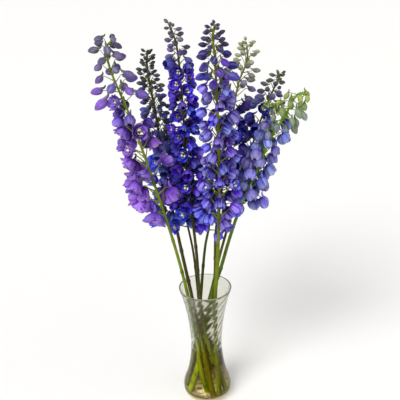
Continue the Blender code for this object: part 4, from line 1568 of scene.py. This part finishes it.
class DELPHINIUM_OT_pedicels(Operator):
    """Grow the pedicels and their bracts"""

    bl_idname = "delphinium.pedicels"
    bl_label = "Pedicels and bracts"

    def execute(self, context):
        look = settings().stalks
        tree = pedicel_tree()
        bract = bpy.data.objects.new("bract", bract_shape().mesh("bract"))
        for name, grown in arrangement().items():
            lines = []
            rows = []
            for group, thin in (("floret", 1.0), ("bud", 0.75)):
                for flower in grown[group]:
                    path = flower["path"]
                    shares = np.linspace(0, 1, len(path))
                    base = look.pedicel * thin * (1.15 - 0.3 * flower["share"])
                    widths = base * (1.25 - 0.75 * shares + 0.45 * shares**4)
                    lines.append((path, widths, flower["share"]))
                rows += bract_rows(grown[group], look.bract * thin)
            for side in grown["sprigs"]:
                reach = np.linspace(0, side.length, SPRIG_STEPS)
                lines.append(([side.at(d) for d in reach], [side.radius(d) for d in reach], 1.0))
            points = bpy.data.objects.new("bract_points", point_cloud("bract_points", rows))
            material = stalk_material(name, stem_look(name), slender=True)
            values = {"Sides": PEDICEL_SIDES, "Bract points": points, "Bract": bract}
            mesh = line_mesh(f"{name}_pedicel_lines", lines)
            pedicels = grow(f"{name}_pedicels", mesh, tree, material, **values)
            bpy.data.objects.remove(points)
            finish_piece(pedicels, f"stalk_{name}")
        bpy.data.objects.remove(bract)
        return {"FINISHED"}


def set_flowers(label, group, kinds, shapes, size, material_of, slot, stands_for=None):
    """Put shapes on a group's flowers of these kinds, as one piece for each stem. The shapes are as many for
    each kind, in the kinds' order. stands_for begins the name of each piece's node, and slot that of a slot,
    which goes unused."""
    look = settings().flowers
    collection = bpy.data.collections.new(label)
    bpy.context.scene.collection.children.link(collection)
    for k, shape in enumerate(shapes):
        name = f"{label}_{k:02d}"
        collection.objects.link(bpy.data.objects.new(name, shape.mesh(name)))
    variants = len(shapes) // len(kinds)
    tree = bloom_tree()
    for name, grown in arrangement().items():
        rows = []
        for k, flower in enumerate(grown[group]):
            if flower["kind"] in kinds:
                kind = kinds.index(flower["kind"]) * variants + k % variants
                row = {"place": flower["path"][-1], "age": flower["share"], "kind": kind}
                rows.append({**row, "turn": flower["turn"], "size": flower["size"]})
        if rows:
            cloud = point_cloud(f"{name}_{label}_points", rows)
            values = {"Shapes": collection, "Size": size, "Spread": look.spread}
            values["Seed"] = look.seed + STEMS[name]["seed"]
            piece = grow(f"{name}_{label}s", cloud, tree, material_of(name), **values)
            nodes = [f"{stands_for}_{name}"] if stands_for else []
            finish_piece(piece, f"{slot}_{name}", *nodes)
    for shape in list(collection.objects):
        bpy.data.objects.remove(shape)
    bpy.data.collections.remove(collection)


class DELPHINIUM_OT_florets(Operator):
    """Open the florets"""

    bl_idname = "delphinium.florets"
    bl_label = "Florets"

    def execute(self, context):
        look = settings().flowers
        rng = np.random.default_rng(look.seed)
        shapes = [floret_shape(kind, rng) for kind in KINDS for _ in range(VARIANTS)]

        def material_of(name):
            return sepal_material(name, stem_look(name))

        set_flowers("floret", "floret", list(KINDS), shapes, look.size, material_of, "petals", "florets")
        return {"FINISHED"}


class DELPHINIUM_OT_bees(Operator):
    """Set the bees, the small pale petals in the middle of each open floret"""

    bl_idname = "delphinium.bees"
    bl_label = "Bees"

    def execute(self, context):
        look = settings().flowers
        rng = np.random.default_rng(look.seed + 1)
        shapes = [bee_shape(rng) for _ in OPEN_KINDS]
        material = bee_material()

        def material_of(name):
            return material

        set_flowers("bee", "floret", OPEN_KINDS, shapes, look.size, material_of, "petals")
        return {"FINISHED"}


class DELPHINIUM_OT_buds(Operator):
    """Set the buds towards the tips"""

    bl_idname = "delphinium.buds"
    bl_label = "Buds"

    def execute(self, context):
        look = settings().flowers
        rng = np.random.default_rng(look.seed + 2)
        shapes = [bud_shape(*sizes, rng) for sizes in BUD_SHAPES]

        def material_of(name):
            return sepal_material(name, stem_look(name), budding=True)

        set_flowers("bud", "bud", ["bud"], shapes, look.bud_size, material_of, "buds", "buds")
        return {"FINISHED"}


# Large soft lamps: where they hang, how strong they are and how wide they look, in degrees.
LAMPS = {
    "key": ((-2.0, -2.6, 3.0), 2.8, 34),
    "fill": ((2.6, -1.6, 1.6), 0.5, 60),
}
CAMERA_PLACE = (-0.00616, -1.13344, 0.93408)
CAMERA_DOWN = math.radians(21.81)
CAMERA_ROLL = math.radians(-1.5)
SENSOR = 36.0  # width of the camera's sensor, in mm


def lay_floor(look):
    """A wide square of board under the vase."""
    half = look.floor_size / 2
    mesh = bpy.data.meshes.new("floor")
    corners = [(-half, -half, 0.0), (half, -half, 0.0), (half, half, 0.0), (-half, half, 0.0)]
    mesh.from_pydata(corners, [], [(0, 1, 2, 3)])
    mesh.materials.append(floor_material(look))
    floor = linked("floor", mesh)


def soft_light(look):
    """White light from all round, weaker than the white that is seen behind the flowers."""
    world = bpy.data.worlds.new("soft_light")
    world.use_nodes = True
    node = partial(add, world.node_tree)
    rays = node("ShaderNodeLightPath").outputs
    seen = node(MAXIMUM, rays["Is Camera Ray"], rays["Is Transmission Ray"])
    strength = node(MULTIPLY_ADD, seen, 1.0 - look.sky, look.sky)
    background = world.node_tree.nodes["Background"]
    background.inputs["Color"].default_value = (1.0, 1.0, 1.0, 1.0)
    world.node_tree.links.new(strength.outputs[0], background.inputs["Strength"])
    return world


def hang_lamps(look):
    """The lamps, which shine towards the origin."""
    for name, (place, power, softness) in LAMPS.items():
        light = bpy.data.lights.new(name, "SUN")
        light.energy = power * look.lamps
        light.angle = math.radians(softness)
        lamp = linked(name, light)
        lamp.location = place
        lamp.rotation_euler = (-lamp.location).to_track_quat("-Z", "Y").to_euler()


def set_up_camera(look):
    """The camera, which looks along +Y and down, and is rolled a little."""
    camera_data = bpy.data.cameras.new("camera")
    camera_data.lens = look.lens
    camera_data.sensor_width = SENSOR
    camera_data.dof.use_dof = False
    camera = linked("camera", camera_data)
    forward = Vector((0.0, math.cos(CAMERA_DOWN), -math.sin(CAMERA_DOWN)))
    right = Vector((1.0, 0.0, 0.0))
    above = right.cross(forward)
    x_axis = right * math.cos(CAMERA_ROLL) + above * math.sin(CAMERA_ROLL)
    y_axis = above * math.cos(CAMERA_ROLL) - right * math.sin(CAMERA_ROLL)
    turn = Matrix((x_axis, y_axis, -forward)).transposed().to_4x4()
    camera.matrix_world = Matrix.Translation(CAMERA_PLACE) @ turn
    return camera


class DELPHINIUM_OT_stage(Operator):
    """Lay the floor, hang the lights and set up the camera"""

    bl_idname = "delphinium.stage"
    bl_label = "Floor, lights and camera"

    def execute(self, context):
        look = settings().stage
        scene = context.scene
        lay_floor(look)
        scene.world = soft_light(look)
        hang_lamps(look)
        scene.camera = set_up_camera(look)
        scene.view_settings.view_transform = "Standard"
        return {"FINISHED"}


OPERATORS = [
    DELPHINIUM_OT_vase,
    DELPHINIUM_OT_water,
    DELPHINIUM_OT_stalks,
    DELPHINIUM_OT_pedicels,
    DELPHINIUM_OT_florets,
    DELPHINIUM_OT_bees,
    DELPHINIUM_OT_buds,
    DELPHINIUM_OT_stage,
]


class DELPHINIUM_PT_panel(Panel):
    """Settings and steps, in the order that they run."""

    bl_idname = "DELPHINIUM_PT_panel"
    bl_label = "Delphinium in a vase"
    bl_space_type = "VIEW_3D"
    bl_region_type = "UI"
    bl_category = "Delphinium"

    def draw(self, context):
        layout = self.layout
        for group in DelphiniumSettings.__annotations__:
            box = layout.box()
            box.label(text=group.replace("_", " ").capitalize())
            values = getattr(settings(), group)
            for name in type(values).__annotations__:
                box.prop(values, name)
        for operator in OPERATORS:
            layout.operator(operator.bl_idname)


SETTINGS = [VaseSettings, WaterSettings, StalkSettings, FlowerSettings, StageSettings, *STEM_CLASSES.values()]
CLASSES = [*SETTINGS, DelphiniumSettings, *OPERATORS, DELPHINIUM_PT_panel]


def register():
    for each in CLASSES:
        bpy.utils.register_class(each)
    bpy.types.Scene.delphinium = PointerProperty(type=DelphiniumSettings)


def unregister():
    del bpy.types.Scene.delphinium
    for each in reversed(CLASSES):
        bpy.utils.unregister_class(each)


def main():
    register()
    for operator in OPERATORS:
        group, name = operator.bl_idname.split(".")
        getattr(getattr(bpy.ops, group), name)()


if __name__ == "__main__":
    main()
